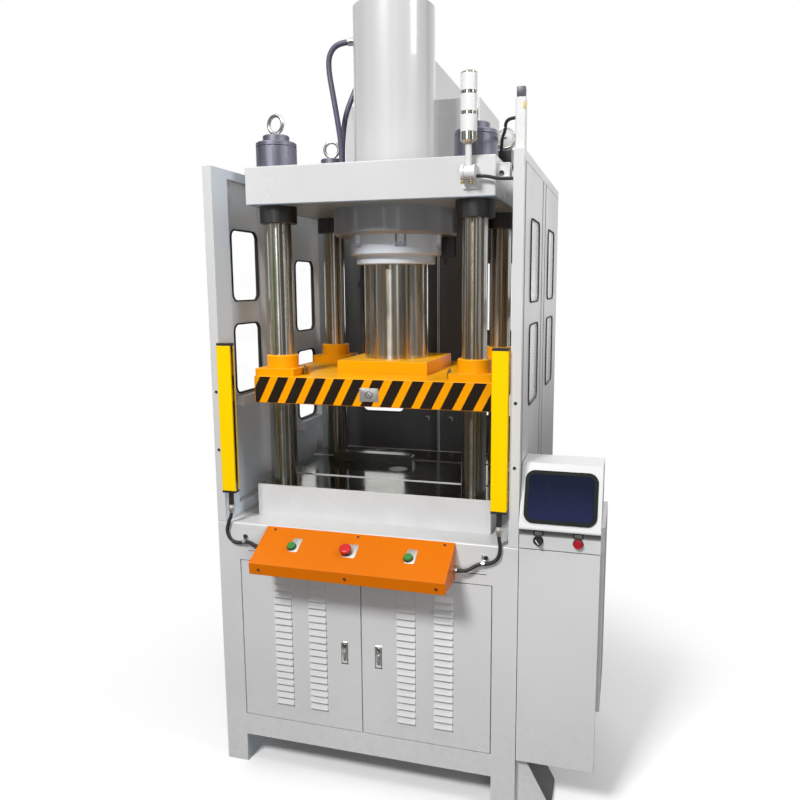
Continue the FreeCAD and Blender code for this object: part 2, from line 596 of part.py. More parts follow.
def turned(points, x=0.0, y=0.0):
    """A turned piece: its half section as (radius, height) points, about Z."""
    wire = Part.makePolygon([Vector(r, 0, z) for r, z in points + [points[0]]])
    shape = Part.Face(wire).revolve(Vector(0, 0, 0), Vector(0, 0, 1), 360)
    shape.translate(Vector(x, y, 0))
    return shape


def prism_x(points, x0, x1):
    """A section of (y, z) points, drawn out from x0 to x1."""
    wire = Part.makePolygon([Vector(x0, y, z) for y, z in points + [points[0]]])
    return Part.Face(wire).extrude(Vector(x1 - x0, 0, 0))


def prism_y(points, y0, y1):
    """A section of (x, z) points, drawn out from y0 to y1."""
    wire = Part.makePolygon([Vector(x, y0, z) for x, z in points + [points[0]]])
    return Part.Face(wire).extrude(Vector(0, y1 - y0, 0))


def folded_box_x(points, x0, x1, sheet):
    """A closed sheet-metal box with the section of (y, z) points."""
    outer = prism_x(points, x0, x1)
    wire = Part.makePolygon([Vector(x0 + sheet, y, z) for y, z in points + [points[0]]])
    inner = Part.Face(wire).makeOffset2D(-sheet, 2)
    return outer.cut(inner.extrude(Vector(x1 - x0 - 2 * sheet, 0, 0)))


def rounded_block(x0, x1, y0, y1, z0, z1, radius, axis):
    """A block whose four edges along one axis are rounded."""
    shape = block(x0, x1, y0, y1, z0, z1)
    index = "XYZ".index(axis)
    edges = [
        e for e in shape.Edges
        if abs(e.Vertexes[0].Point[index] - e.Vertexes[1].Point[index]) > 1e-6
    ]
    return shape.makeFillet(radius, edges)


def bent(shape, y):
    """Rounds the two upright edges at y, as a bend in sheet metal."""
    edges = [
        e for e in shape.Edges
        if all(abs(v.Point.y - y) < 1e-3 for v in e.Vertexes)
        and abs(e.Vertexes[0].Point.z - e.Vertexes[1].Point.z) > 1e-3
    ]
    return shape.makeFillet(BEND_RADIUS, edges)


def edges_at(shape, height, tolerance=1e-3):
    """The edges that lie wholly at one height."""
    return [
        e for e in shape.Edges
        if all(abs(v.Point.z - height) < tolerance for v in e.Vertexes)
        and abs(e.BoundBox.ZMax - e.BoundBox.ZMin) < tolerance
    ]


def join(shapes):
    """One solid from pieces that meet."""
    first, rest = shapes[0], shapes[1:]
    return first.fuse(rest).removeSplitter()


def group(shapes):
    """Like pieces that stay separate solids."""
    return Part.makeCompound(shapes)


def tube(name, points, radius):
    """A hose or cable: straight runs joined by tangent arcs."""
    corners = [Vector(*p) for p in points]
    edges, radii, start = [], [], corners[0]
    for a, b, c in zip(corners, corners[1:], corners[2:]):
        back, on = (a - b), (c - b)
        shorter = min(back.Length, on.Length)
        half_turn = (math.pi - back.getAngle(on)) / 2.0
        bend = 0.45 * shorter / math.tan(half_turn)
        reach = bend * math.tan(half_turn)
        back.normalize()
        on.normalize()
        into, out = b + back * reach, b + on * reach
        middle_way = (back + on).normalize()
        middle = b + middle_way * (bend / math.cos(half_turn) - bend)
        edges.append(Part.LineSegment(start, into).toShape())
        edges.append(Part.Arc(into, middle, out).toShape())
        radii.append(round(bend, 1))
        start = out
    edges.append(Part.LineSegment(start, corners[-1]).toShape())
    path = Part.Wire(edges)
    way = (corners[1] - corners[0]).normalize()
    section = Part.Wire([Part.Circle(corners[0], way, radius).toShape()])
    solid = path.makePipeShell([section], True, True)
    expected = math.pi * radius ** 2 * path.Length
    print(f"{name}: length {path.Length:.1f}, radii {radii}, "
          f"volume {solid.Volume / expected:.4f} of its section times its length")
    return solid


# ---------------------------------------------------------------- base cabinet
def outrigger():
    """The slanting foot welded to the base's right side, at its front."""
    section = [
        (HALF_BASE, 0), (HALF_BASE + OUTRIGGER_REACH, 0),
        (HALF_BASE + OUTRIGGER_REACH, OUTRIGGER_TOE),
        (HALF_BASE, OUTRIGGER_HEIGHT),
    ]
    front = FRONT + OUTRIGGER_SETBACK
    return prism_y(section, front, front + OUTRIGGER_DEPTH)


def base_frame():
    shell = block(-HALF_BASE, HALF_BASE, FRONT, BACK, FOOT_HEIGHT, DECK_BOTTOM)
    room = block(
        -HALF_BASE + BASE_WALL, HALF_BASE - BASE_WALL,
        FRONT + BASE_FRONT_WALL, BACK - BASE_WALL,
        FOOT_HEIGHT + BASE_FLOOR, DECK_BOTTOM,
    )
    doorway = block(
        -DOORWAY_HALF, DOORWAY_HALF,
        FRONT - 1, FRONT + BASE_FRONT_WALL + 1, DOORWAY_BOTTOM, DOORWAY_TOP,
    )
    seam = block(
        -HALF_BASE + SEAM_END_MARGIN, HALF_BASE - SEAM_END_MARGIN,
        FRONT - 1, FRONT + SEAM_DEPTH,
        DECK_TOP - SEAM_DROP, DECK_TOP - SEAM_DROP + SEAM_WIDTH,
    )
    frame = shell.cut([room, doorway, seam] + [
        rod(x, FRONT + PIVOT_INSET, z - PIVOT_LENGTH, z + PIVOT_LENGTH,
            PIVOT_RADIUS + RUNNING_GAP)
        for x in (pivot_x(-1), pivot_x(1))
        for z in (DOORWAY_BOTTOM, DOORWAY_TOP)
    ])
    feet = [
        block(min(a, b), max(a, b), y, y + FOOT_DEPTH, 0, FOOT_HEIGHT)
        for a, b in (
            (-HALF_BASE, -HALF_BASE + FOOT_WIDTH),
            (HALF_BASE - FOOT_WIDTH, HALF_BASE),
        )
        for y in (FRONT, BACK - FOOT_DEPTH)
    ]
    bearers = [
        block(-HALF_BASE + BASE_WALL, HALF_BASE - BASE_WALL,
              y - BEARER_WIDTH / 2, y + BEARER_WIDTH / 2,
              DECK_BOTTOM - BEARER_HEIGHT, DECK_BOTTOM)
        for y in (-TSLOT_OFFSET, TSLOT_OFFSET)
    ]
    return join([frame, outrigger()] + feet + bearers)


def deck_plate():
    plate = block(-HALF_BASE, HALF_BASE, FRONT, BACK, DECK_BOTTOM, DECK_TOP)
    front_edge = [
        e for e in edges_at(plate, DECK_TOP) if abs(e.CenterOfMass.y - FRONT) < 1e-3
    ]
    plate = plate.makeFillet(DECK_EDGE_RADIUS, front_edge)
    return plate.cut([
        rod(x, y, DECK_BOTTOM - 1, DECK_TOP + 1, COLUMN_RADIUS) for x, y in COLUMNS
    ])


# ---------------------------------------------------------------- base doors
def pivot_x(side):
    return side * (DOORWAY_HALF - DOOR_GAP - PIVOT_INSET)


def louvre(x, z):
    """A pressed louvre: a sloping hood with closed ends, open at its bottom."""
    out, up, sheet = LOUVRE_BULGE, LOUVRE_RISE, LOUVRE_SHEET
    hood = [
        (FRONT, z + up), (FRONT - out, z + sheet), (FRONT - out, z),
        (FRONT - out + sheet, z), (FRONT, z + up - 2 * sheet),
    ]
    cheek = [
        (FRONT, z + up), (FRONT - out, z + sheet), (FRONT - out, z), (FRONT, z),
    ]
    left, right = x - LOUVRE_WIDTH / 2, x + LOUVRE_WIDTH / 2
    return join([
        prism_x(hood, left, right),
        prism_x(cheek, left, left + sheet),
        prism_x(cheek, right - sheet, right),
    ])


def base_door(side):
    """A louvred pan with pivot pins and a sunk case for its latch."""
    hinge_edge = side * (DOORWAY_HALF - DOOR_GAP)
    free_edge = side * DOOR_GAP / 2
    x0, x1 = min(hinge_edge, free_edge), max(hinge_edge, free_edge)
    z0, z1 = DOORWAY_BOTTOM + DOOR_GAP, DOORWAY_TOP - DOOR_GAP
    back = FRONT + DOOR_RETURN
    pan = bent(block(x0, x1, FRONT, back, z0, z1), FRONT).cut(
        block(x0 + DOOR_SHEET, x1 - DOOR_SHEET, FRONT + DOOR_SHEET, back + 1,
              z0 + DOOR_SHEET, z1 - DOOR_SHEET)
    )
    middle = (x0 + x1) / 2
    low = DOORWAY_BOTTOM + LOUVRE_LOW_MARGIN
    room = DOORWAY_TOP - LOUVRE_HIGH_MARGIN - LOUVRE_RISE - low
    places = [
        (middle + dx, low + i * LOUVRE_PITCH)
        for dx in (-LOUVRE_COLUMN, LOUVRE_COLUMN)
        for i in range(int(room / LOUVRE_PITCH) + 1)
    ]
    slots = [
        block(x - LOUVRE_WIDTH / 2 + LOUVRE_SHEET, x + LOUVRE_WIDTH / 2 - LOUVRE_SHEET,
              FRONT - 1, FRONT + DOOR_SHEET + 1,
              z, z + LOUVRE_RISE - 2 * LOUVRE_SHEET)
        for x, z in places
    ]
    case, recess, pin_holes = latch_case(side)
    pins = [
        rod(pivot_x(side), FRONT + PIVOT_INSET, low, low + PIVOT_LENGTH, PIVOT_RADIUS)
        for low in (z0 - PIVOT_LENGTH + 1, z1 - 1)
    ]
    door = pan.cut(slots)
    return join([door, case] + pins + [louvre(x, z) for x, z in places]).cut(
        [recess] + pin_holes
    )


def latch_case(side):
    x = side * LATCH_OFFSET
    z0, z1 = LATCH_MIDDLE - LATCH_HEIGHT / 2, LATCH_MIDDLE + LATCH_HEIGHT / 2
    wall = 2 * DOOR_SHEET
    case = block(x - LATCH_WIDTH / 2 - wall, x + LATCH_WIDTH / 2 + wall,
                 FRONT, FRONT + LATCH_DEPTH + wall, z0 - wall, z1 + wall)
    recess = block(x - LATCH_WIDTH / 2, x + LATCH_WIDTH / 2,
                   FRONT - 1, FRONT + LATCH_DEPTH, z0, z1)
    holes = [latch_pin(side, LATCH_WIDTH + 2 * DOOR_SHEET, LATCH_PIN_RADIUS + RUNNING_GAP)]
    return case, recess, holes


def latch_pin(side, length, radius):
    """Across the latch, near its top."""
    return rod_along(
        (side * LATCH_OFFSET - length / 2, FRONT + LATCH_DEPTH / 2,
         LATCH_MIDDLE + LATCH_HEIGHT / 2 - LATCH_DEPTH / 2 - LATCH_GAP),
        (1, 0, 0), length, radius,
    )


def latch(side):
    """A flush handle plate that swings out about a pin near its top."""
    x = side * LATCH_OFFSET
    top = LATCH_MIDDLE + LATCH_HEIGHT / 2 - LATCH_GAP
    axis_y, axis_z = FRONT + LATCH_DEPTH / 2, top - LATCH_DEPTH / 2
    x0, x1 = x - LATCH_WIDTH / 2 + LATCH_GAP, x + LATCH_WIDTH / 2 - LATCH_GAP
    plate = block(x0, x1, FRONT, FRONT + LATCH_DEPTH / 2,
                  LATCH_MIDDLE - LATCH_HEIGHT / 2 + LATCH_GAP, axis_z)
    knuckle = rod_along((x0, axis_y, axis_z), (1, 0, 0), x1 - x0, LATCH_DEPTH / 2 - LATCH_GAP)
    keyway = rod_along((x, FRONT - 1, LATCH_MIDDLE - LATCH_HEIGHT / 4), (0, 1, 0), 3, 4)
    return join([plate, knuckle, latch_pin(side, LATCH_WIDTH + DOOR_SHEET, LATCH_PIN_RADIUS)]
                ).cut(keyway)


# ---------------------------------------------------------------- plates, columns
def column_holes(z0, z1):
    return [rod(x, y, z0 - 1, z1 + 1, COLUMN_RADIUS) for x, y in COLUMNS]


def bolster():
    half_x, half_y = PLATE_HALF_X, PLATE_HALF_Y
    plate = block(-half_x, half_x, -half_y, half_y, DECK_TOP, BOLSTER_TOP)
    plate = plate.makeChamfer(PLATE_CHAMFER, edges_at(plate, BOLSTER_TOP))
    slots = []
    for y in (-TSLOT_OFFSET, TSLOT_OFFSET):
        slots.append(block(-half_x - 1, half_x + 1, y - TSLOT_MOUTH / 2, y + TSLOT_MOUTH / 2,
                           BOLSTER_TOP - TSLOT_MOUTH_DEPTH, BOLSTER_TOP + 1))
        slots.append(block(-half_x - 1, half_x + 1, y - TSLOT_HEAD / 2, y + TSLOT_HEAD / 2,
                           BOLSTER_TOP - TSLOT_MOUTH_DEPTH - TSLOT_HEAD_DEPTH,
                           BOLSTER_TOP - TSLOT_MOUTH_DEPTH))
    bore = turned([
        (0, DECK_TOP - 1), (BORE_RADIUS + BORE_CHAMFER, DECK_TOP - 1),
        (BORE_RADIUS + BORE_CHAMFER, DECK_TOP), (BORE_RADIUS, DECK_TOP + BORE_CHAMFER),
        (BORE_RADIUS, BOLSTER_TOP - BORE_CHAMFER),
        (BORE_RADIUS + BORE_CHAMFER, BOLSTER_TOP),
        (BORE_RADIUS + BORE_CHAMFER, BOLSTER_TOP + 1), (0, BOLSTER_TOP + 1),
    ])
    return plate.cut(slots + [bore, stop_bar()] + column_holes(DECK_TOP, BOLSTER_TOP))


def stop_bar():
    return block(-STOP_SHIFT - STOP_WIDTH / 2, -STOP_SHIFT + STOP_WIDTH / 2,
                 STOP_FRONT, STOP_FRONT + STOP_DEPTH,
                 BOLSTER_TOP - STOP_SEAT, BOLSTER_TOP + STOP_HEIGHT)


def rear_stop():
    """A low stop bar let into the bolster, behind the working space."""
    bar = stop_bar()
    ends = [
        e for e in edges_at(bar, BOLSTER_TOP + STOP_HEIGHT)
        if abs(e.Vertexes[0].Point.x - e.Vertexes[1].Point.x) < 1e-3
    ]
    return bar.makeFillet(STOP_END_RADIUS, ends)


def column(x, y):
    low = DECK_BOTTOM - BASE_NUT_HEIGHT
    high = CROWN_TOP + NUT_HEIGHT + NUT_CAP_HEIGHT / 2
    edge = 2.0
    shape = turned([
        (0, low), (COLUMN_NECK_RADIUS - edge, low), (COLUMN_NECK_RADIUS, low + edge),
        (COLUMN_NECK_RADIUS, DECK_BOTTOM), (COLUMN_RADIUS, DECK_BOTTOM),
        (COLUMN_RADIUS, CROWN_TOP), (COLUMN_NECK_RADIUS, CROWN_TOP),
        (COLUMN_NECK_RADIUS, high), (0, high),
    ], x, y)
    return shape.cut(rod(x, y, high - EYE_SHANK_LENGTH, high + 1, EYE_SHANK_RADIUS))


def column_nut(x, y):
    """A stepped round nut, grooved near its top, with a cap over the column."""
    top = CROWN_TOP + NUT_HEIGHT
    edge = 3.0
    groove = CROWN_TOP + NUT_GROOVE_HEIGHT
    cap_top = top + NUT_CAP_HEIGHT
    shape = turned([
        (COLUMN_NECK_RADIUS, CROWN_TOP), (NUT_RADIUS - edge, CROWN_TOP),
        (NUT_RADIUS, CROWN_TOP + edge), (NUT_RADIUS, groove),
        (NUT_RADIUS - NUT_GROOVE, groove), (NUT_RADIUS - NUT_GROOVE, groove + NUT_GROOVE),
        (NUT_RADIUS, groove + NUT_GROOVE), (NUT_RADIUS, top - edge),
        (NUT_RADIUS - edge, top), (NUT_CAP_RADIUS, top),
        (NUT_CAP_RADIUS, cap_top - edge), (NUT_CAP_RADIUS - edge, cap_top),
        (EYE_SHANK_RADIUS, cap_top), (EYE_SHANK_RADIUS, top + NUT_CAP_HEIGHT / 2),
        (COLUMN_NECK_RADIUS, top + NUT_CAP_HEIGHT / 2),
    ], x, y)
    return shape


def base_nut(x, y):
    low = DECK_BOTTOM - BASE_NUT_HEIGHT
    return turned([
        (COLUMN_NECK_RADIUS, low), (COLLAR_RADIUS, low),
        (COLLAR_RADIUS, DECK_BOTTOM), (COLUMN_NECK_RADIUS, DECK_BOTTOM),
    ], x, y)


def collar(x, y):
    edge = 2.0
    low = CROWN_BOTTOM - COLLAR_HEIGHT
    return turned([
        (COLUMN_RADIUS, low), (COLLAR_RADIUS - edge, low), (COLLAR_RADIUS, low + edge),
        (COLLAR_RADIUS, CROWN_BOTTOM), (COLUMN_RADIUS, CROWN_BOTTOM),
    ], x, y)


def eyebolt(x, y, turn):
    """A lifting eye; turn is its ring's angle from facing the operator."""
    seat = CROWN_TOP + NUT_HEIGHT + NUT_CAP_HEIGHT
    shank = rod(x, y, seat - NUT_CAP_HEIGHT / 2 - EYE_SHANK_LENGTH, seat, EYE_SHANK_RADIUS)
    foot = rod(x, y, seat, seat + EYE_COLLAR_HEIGHT, EYE_COLLAR_RADIUS)
    height = seat + EYE_COLLAR_HEIGHT + EYE_RING_RADIUS + EYE_WIRE_RADIUS / 2
    facing = Vector(math.sin(math.radians(turn)), math.cos(math.radians(turn)), 0)
    ring = Part.makeTorus(EYE_RING_RADIUS, EYE_WIRE_RADIUS, Vector(x, y, height), facing)
    return join([ring, foot, shank])


def crown():
    half_x, half_y = CROWN_HALF_X, CROWN_HALF_Y
    plate = block(-half_x, half_x, -half_y, half_y, CROWN_BOTTOM, CROWN_TOP)
    plate = plate.makeChamfer(PLATE_CHAMFER, plate.Edges)
    holes = column_holes(CROWN_BOTTOM, CROWN_TOP)
    holes.append(rod(0, 0, CROWN_BOTTOM - 1, CROWN_TOP + 1, BARREL_RADIUS))
    holes.append(rod(*ROD_PLACE, CROWN_BOTTOM - 1, CROWN_TOP + 1, ROD_RADIUS + ROD_HOLE_GAP))
    return plate.cut(holes)


# ---------------------------------------------------------------- cylinder
def cylinder_barrel():
    flange_bottom = BARREL_FLANGE_BOTTOM
    bore_top = BARREL_TOP - BARREL_END
    edge = BARREL_EDGE
    shape = turned([
        (BORE_OF_BARREL, flange_bottom), (BARREL_FLANGE_RADIUS - edge, flange_bottom),
        (BARREL_FLANGE_RADIUS, flange_bottom + edge), (BARREL_FLANGE_RADIUS, CROWN_BOTTOM),
        (BARREL_RADIUS, CROWN_BOTTOM), (BARREL_RADIUS, BARREL_TOP - edge),
        (BARREL_RADIUS - edge, BARREL_TOP), (0, BARREL_TOP), (0, bore_top),
        (BORE_OF_BARREL, bore_top),
    ])
    holes = [
        rod(x, y, flange_bottom - 1, flange_bottom + BOLT_SHANK_LENGTH, BOLT_SHANK_RADIUS)
        for x, y in gland_bolt_places()
    ]
    holes.append(rod(*ROD_PLACE, flange_bottom - 1, CROWN_BOTTOM + 1,
                     ROD_RADIUS + ROD_HOLE_GAP))
    return shape.cut(holes)


def gland_bolt_places():
    circle = GLAND_RADIUS - GLAND_BOLT_INSET
    angles = [
        math.radians(GLAND_BOLT_TURN + i * 360 / GLAND_BOLTS) for i in range(GLAND_BOLTS)
    ]
    return [(circle * math.cos(a), circle * math.sin(a)) for a in angles]


def gland_flange():
    """The gland: a flange with pockets for its bolts, a ring and a spigot."""
    top = BARREL_FLANGE_BOTTOM
    bottom = top - GLAND_HEIGHT
    ring = bottom - GLAND_RING_HEIGHT
    ring_radius = RAM_RADIUS + GLAND_RING_WALL
    bore = RAM_RADIUS + RUNNING_GAP
    edge = 3.0
    shape = turned([
        (bore, ring), (ring_radius - edge, ring), (ring_radius, ring + edge),
        (ring_radius, bottom), (GLAND_RADIUS - 2 * edge, bottom),
        (GLAND_RADIUS, bottom + 2 * edge), (GLAND_RADIUS, top),
        (BORE_OF_BARREL, top), (BORE_OF_BARREL, top + GLAND_SPIGOT),
        (bore, top + GLAND_SPIGOT),
    ])
    return shape.cut([
        rod(x, y, top - GLAND_POCKET_HEIGHT, top + 1, BOLT_HEAD_RADIUS + GLAND_POCKET_GAP)
        for x, y in gland_bolt_places()
    ])


def gland_bolts():
    top = BARREL_FLANGE_BOTTOM
    bolts = []
    for x, y in gland_bolt_places():
        head = rod(x, y, top - BOLT_HEAD_HEIGHT, top, BOLT_HEAD_RADIUS)
        shank = rod(x, y, top, top + BOLT_SHANK_LENGTH, BOLT_SHANK_RADIUS)
        bolts.append(join([head, shank]))
    return group(bolts)


def ram():
    piston = PISTON_BOTTOM + PISTON_HEIGHT
    bottom = RAM_PLATE_TOP
    edge = 3.0
    return turned([
        (0, bottom), (RAM_RADIUS, bottom), (RAM_RADIUS, PISTON_BOTTOM),
        (BORE_OF_BARREL - RUNNING_GAP, PISTON_BOTTOM),
        (BORE_OF_BARREL - RUNNING_GAP, piston - edge),
        (BORE_OF_BARREL - edge, piston), (0, piston),
    ])


# ---------------------------------------------------------------- moving slide
def slide():
    half_x, half_y = PLATE_HALF_X, PLATE_HALF_Y
    plate = block(-half_x, half_x, -half_y, half_y, SLIDE_BOTTOM, SLIDE_TOP)
    plate = plate.makeChamfer(PLATE_CHAMFER / 2, plate.Edges)
    return plate.cut([rod(x, y, SLIDE_BOTTOM - 1, SLIDE_TOP + 1, BUSH_RADIUS)
                      for x, y in COLUMNS])


def ram_plate():
    plate = block(-RAM_PLATE_HALF_X, RAM_PLATE_HALF_X, -RAM_PLATE_HALF_Y, RAM_PLATE_HALF_Y,
                  SLIDE_TOP, RAM_PLATE_TOP)
    return plate.makeChamfer(PLATE_CHAMFER / 2, edges_at(plate, RAM_PLATE_TOP))


def guide_bush(x, y):
    half = BUSH_RADIUS + BUSH_FLANGE_EDGE
    flange = rounded_block(x - half, x + half, y - half, y + half,
                           SLIDE_TOP, SLIDE_TOP + BUSH_FLANGE_HEIGHT, BUSH_FLANGE_CORNER, "Z")
    top = SLIDE_TOP + BUSH_HEIGHT
    edge = 3.0
    sleeve = turned([
        (0, SLIDE_BOTTOM), (BUSH_RADIUS, SLIDE_BOTTOM), (BUSH_RADIUS, top - edge),
        (BUSH_RADIUS - edge, top), (0, top),
    ], x, y)
    return join([flange, sleeve]).cut(
        rod(x, y, SLIDE_BOTTOM - 1, top + 1, COLUMN_RADIUS + RUNNING_GAP)
    )


def stroke_rod():
    """The rod that follows the slide, with the dog for its limit switch."""
    x, y = ROD_PLACE
    wide, deep, high = DOG_SIZE
    low = SLIDE_TOP + DOG_RISE
    dog = block(x - wide / 2, x + wide / 2, y - deep / 2, y + deep / 2, low, low + high)
    return join([rod(x, y, SLIDE_TOP, SLIDE_TOP + ROD_LENGTH, ROD_RADIUS), dog])


def hazard_stripes():
    """Slanting black bands on the slide's front face."""
    front = -PLATE_HALF_Y
    z0, z1 = SLIDE_BOTTOM + STRIPE_MARGIN, SLIDE_TOP - STRIPE_MARGIN
    face = block(-PLATE_HALF_X + PLATE_CHAMFER, PLATE_HALF_X - PLATE_CHAMFER,
                 front - 1, front + 1, z0, z1)
    bands = []
    first = -PLATE_HALF_X + STRIPE_START
    for i in range(int((PLATE_HALF_X - first + STRIPE_SLANT) / STRIPE_PITCH) + 1):
        left = first + i * STRIPE_PITCH
        corners = [(left, z1), (left + STRIPE_WIDTH, z1),
                   (left + STRIPE_WIDTH - STRIPE_SLANT, z0), (left - STRIPE_SLANT, z0)]
        bands.append(prism_y(corners, front - STRIPE_TAPE, front).common(face))
    return group(bands)


# ---------------------------------------------------------------- oil tank, hoses
def oil_tank():
    """A wide tank across the crown's rear with a tall neck behind the cylinder."""
    wide = block(-TANK_WIDTH / 2, TANK_WIDTH / 2, TANK_FRONT, BACK, CROWN_TOP, TANK_TOP)
    neck_front = BARREL_RADIUS + TANK_NECK_FRONT_GAP
    neck_top = CROWN_TOP + TANK_NECK_HEIGHT
    neck = block(-TANK_NECK_WIDTH / 2, TANK_NECK_WIDTH / 2, neck_front, BACK,
                 CROWN_TOP, neck_top)
    t = TANK_SHEET
    rooms = [
        block(-TANK_WIDTH / 2 + t, TANK_WIDTH / 2 - t, TANK_FRONT + t, BACK - t,
              CROWN_TOP + t, TANK_TOP - t),
        block(-TANK_NECK_WIDTH / 2 + t, TANK_NECK_WIDTH / 2 - t, neck_front + t,
              BACK - t, CROWN_TOP + t, neck_top - t),
    ]
    return join([wide, neck]).cut(rooms)


def hose_ends():
    """The hoses' end fittings, on the barrel, the tank and the crown."""
    x, y, z = LONG_HOSE[0]
    on_barrel = rod_along((x, y, z), (1, 0, 0), -BARREL_RADIUS / 2 - x, HOSE_END_RADIUS)
    on_barrel = on_barrel.cut(
        rod(0, 0, z - 2 * HOSE_END_RADIUS, z + 2 * HOSE_END_RADIUS, BARREL_RADIUS))
    x, y, z = SHORT_HOSE[0]
    on_tank = rod(x, y, TANK_TOP, z, HOSE_END_RADIUS)
    on_crown = [
        rod(points[-1][0], points[-1][1], CROWN_TOP, points[-1][2], HOSE_END_RADIUS)
        for points in (LONG_HOSE, SHORT_HOSE)
    ]
    return group([on_barrel, on_tank] + on_crown)


# ---------------------------------------------------------------- guards
def windows(panel, sizes):
    """Each window's front, rear, bottom and top, from its place in a panel."""
    return [
        (panel + shift - wide / 2, panel + shift + wide / 2,
         GUARD_MIDDLE + low, GUARD_MIDDLE + high)
        for shift, wide, low, high in sizes
    ]


def side_openings(side):
    if side < 0:
        return windows(FRONT_PANEL, LEFT_FRONT_WINDOWS) + windows(REAR_PANEL,
                                                                  LEFT_REAR_WINDOWS)
    return windows(FRONT_PANEL, RIGHT_FRONT_WINDOWS) + windows(REAR_PANEL,
                                                               RIGHT_REAR_WINDOWS)


def window_columns(side):
    """Each column of windows: its front, its rear and its lower window's bottom."""
    openings = side_openings(side)
    return [
        (y0, y1, min(w[2] for w in openings if w[0] == y0))
        for y0, y1 in sorted({w[:2] for w in openings})
    ]


def window_block(opening, x0, x1, grow):
    """The rounded block that fills an opening grown on all sides."""
    y0, y1, z0, z1 = opening
    return rounded_block(x0, x1, y0 - grow, y1 + grow, z0 - grow, z1 + grow,
                         WINDOW_RADIUS + grow, "X")


def guard(side):
    """A side guard: welded posts and rails with two outer sheets."""
    x0, x1 = sorted((side * HALF_BASE, side * POST_FACE))
    s0, s1 = sorted((side * HALF_BASE, side * (HALF_BASE - GUARD_SHEET)))
    g0, g1 = sorted((side * HALF_BASE, side * (HALF_BASE - SEAM_GROOVE / 2)))
    bars = [
        block(x0, x1, FRONT, FRONT + POST_DEPTH, DECK_TOP, GUARD_TOP),
        block(x0, x1, BACK - REAR_POST_DEPTH, BACK, DECK_TOP, GUARD_TOP),
        block(x0, x1, MIDDLE - MIDDLE_POST_DEPTH / 2, MIDDLE + MIDDLE_POST_DEPTH / 2,
              DECK_TOP, GUARD_TOP),
        block(x0, x1, FRONT, BACK, GUARD_TOP - RAIL_HEIGHT, GUARD_TOP),
        block(x0, x1, FRONT, BACK, DECK_TOP, DECK_TOP + SILL_HEIGHT),
        block(s0, s1, FRONT, BACK, DECK_TOP, GUARD_TOP),
    ]
    openings = [window_block(w, s0 - 1, s1 + 1, 0) for w in side_openings(side)]
    for y0, y1, low in window_columns(side):
        post = y1 + WINDOW_TRIM_GAP
        rail = low - WINDOW_TRIM_GAP
        bars.append(block(x0, x1, post, post + WINDOW_POST_DEPTH, DECK_TOP, GUARD_TOP))
        bars.append(block(x0, x1, y0, post, rail - WINDOW_RAIL_HEIGHT, rail))
    half = SEAM_GROOVE / 2
    rail_bottom = GUARD_TOP - RAIL_HEIGHT
    post_back = FRONT + GUARD_THICKNESS
    seams = [
        block(g0, g1, MIDDLE - half, MIDDLE + half, DECK_TOP, rail_bottom),
        block(g0, g1, post_back - half, post_back + half, DECK_TOP, rail_bottom),
        block(g0, g1, FRONT, BACK, rail_bottom - half, rail_bottom + half),
    ]
    return join(bars).cut(openings + seams)


def window(side, opening):
    """A clear pane held in the sheet by a rubber ring."""
    x0, x1 = sorted((side * (HALF_BASE + GASKET_PROUD),
                     side * (HALF_BASE - GUARD_SHEET - GASKET_PROUD)))
    s0, s1 = sorted((side * HALF_BASE, side * (HALF_BASE - GUARD_SHEET)))
    middle = (s0 + s1) / 2
    p0, p1 = middle - PANE_THICKNESS / 2, middle + PANE_THICKNESS / 2
    pane = window_block(opening, p0, p1, -GASKET_WIDTH / 4)
    sheet = window_block(opening, s0, s1, GASKET_WIDTH).cut(
        window_block(opening, s0, s1, 0))
    ring = window_block(opening, x0, x1, GASKET_WIDTH / 2).cut([
        window_block(opening, x0 - 1, x1 + 1, -GASKET_WIDTH / 2), pane, sheet,
    ])
    return [ring, pane]


def side_windows():
    return group([
        piece for side in (-1, 1) for w in side_openings(side) for piece in window(side, w)
    ])


def turn_to_rear(shape, side):
    """Turns a window made for the right side so that it faces the rear."""
    shape = shape.copy()
    shape.Placement = Placement(Vector(0, BACK - HALF_BASE, 0), Rotation(
        Vector(0, 0, 1), 90)).multiply(shape.Placement)
    if side > 0:
        shape = shape.mirror(Vector(0, 0, 0), Vector(1, 0, 0))
    return shape


def rear_rails():
    header = block(-POST_FACE, POST_FACE, BACK - MIDDLE_POST_DEPTH, BACK,
                   CROWN_TOP - SILL_HEIGHT, CROWN_TOP)
    sill = block(-POST_FACE, POST_FACE, BACK - MIDDLE_POST_DEPTH, BACK,
                 DECK_TOP, DECK_TOP + SILL_HEIGHT)
    holes = [
        rod(rear_pivot_x(side), BACK - PIVOT_INSET, z - PIVOT_LENGTH, z + PIVOT_LENGTH,
            PIVOT_RADIUS + RUNNING_GAP)
        for side in (-1, 1)
        for z in (CROWN_TOP - SILL_HEIGHT, DECK_TOP + SILL_HEIGHT)
    ]
    return group([header.cut(holes), sill.cut(holes)])


def rear_pivot_x(side):
    return side * (POST_FACE - DOOR_GAP - PIVOT_INSET)


def rear_openings():
    """The inner and outer edges, bottoms and tops of a rear door's windows."""
    middle = (DOOR_GAP / 2 + POST_FACE - DOOR_GAP) / 2
    return windows(middle, REAR_DOOR_WINDOWS)


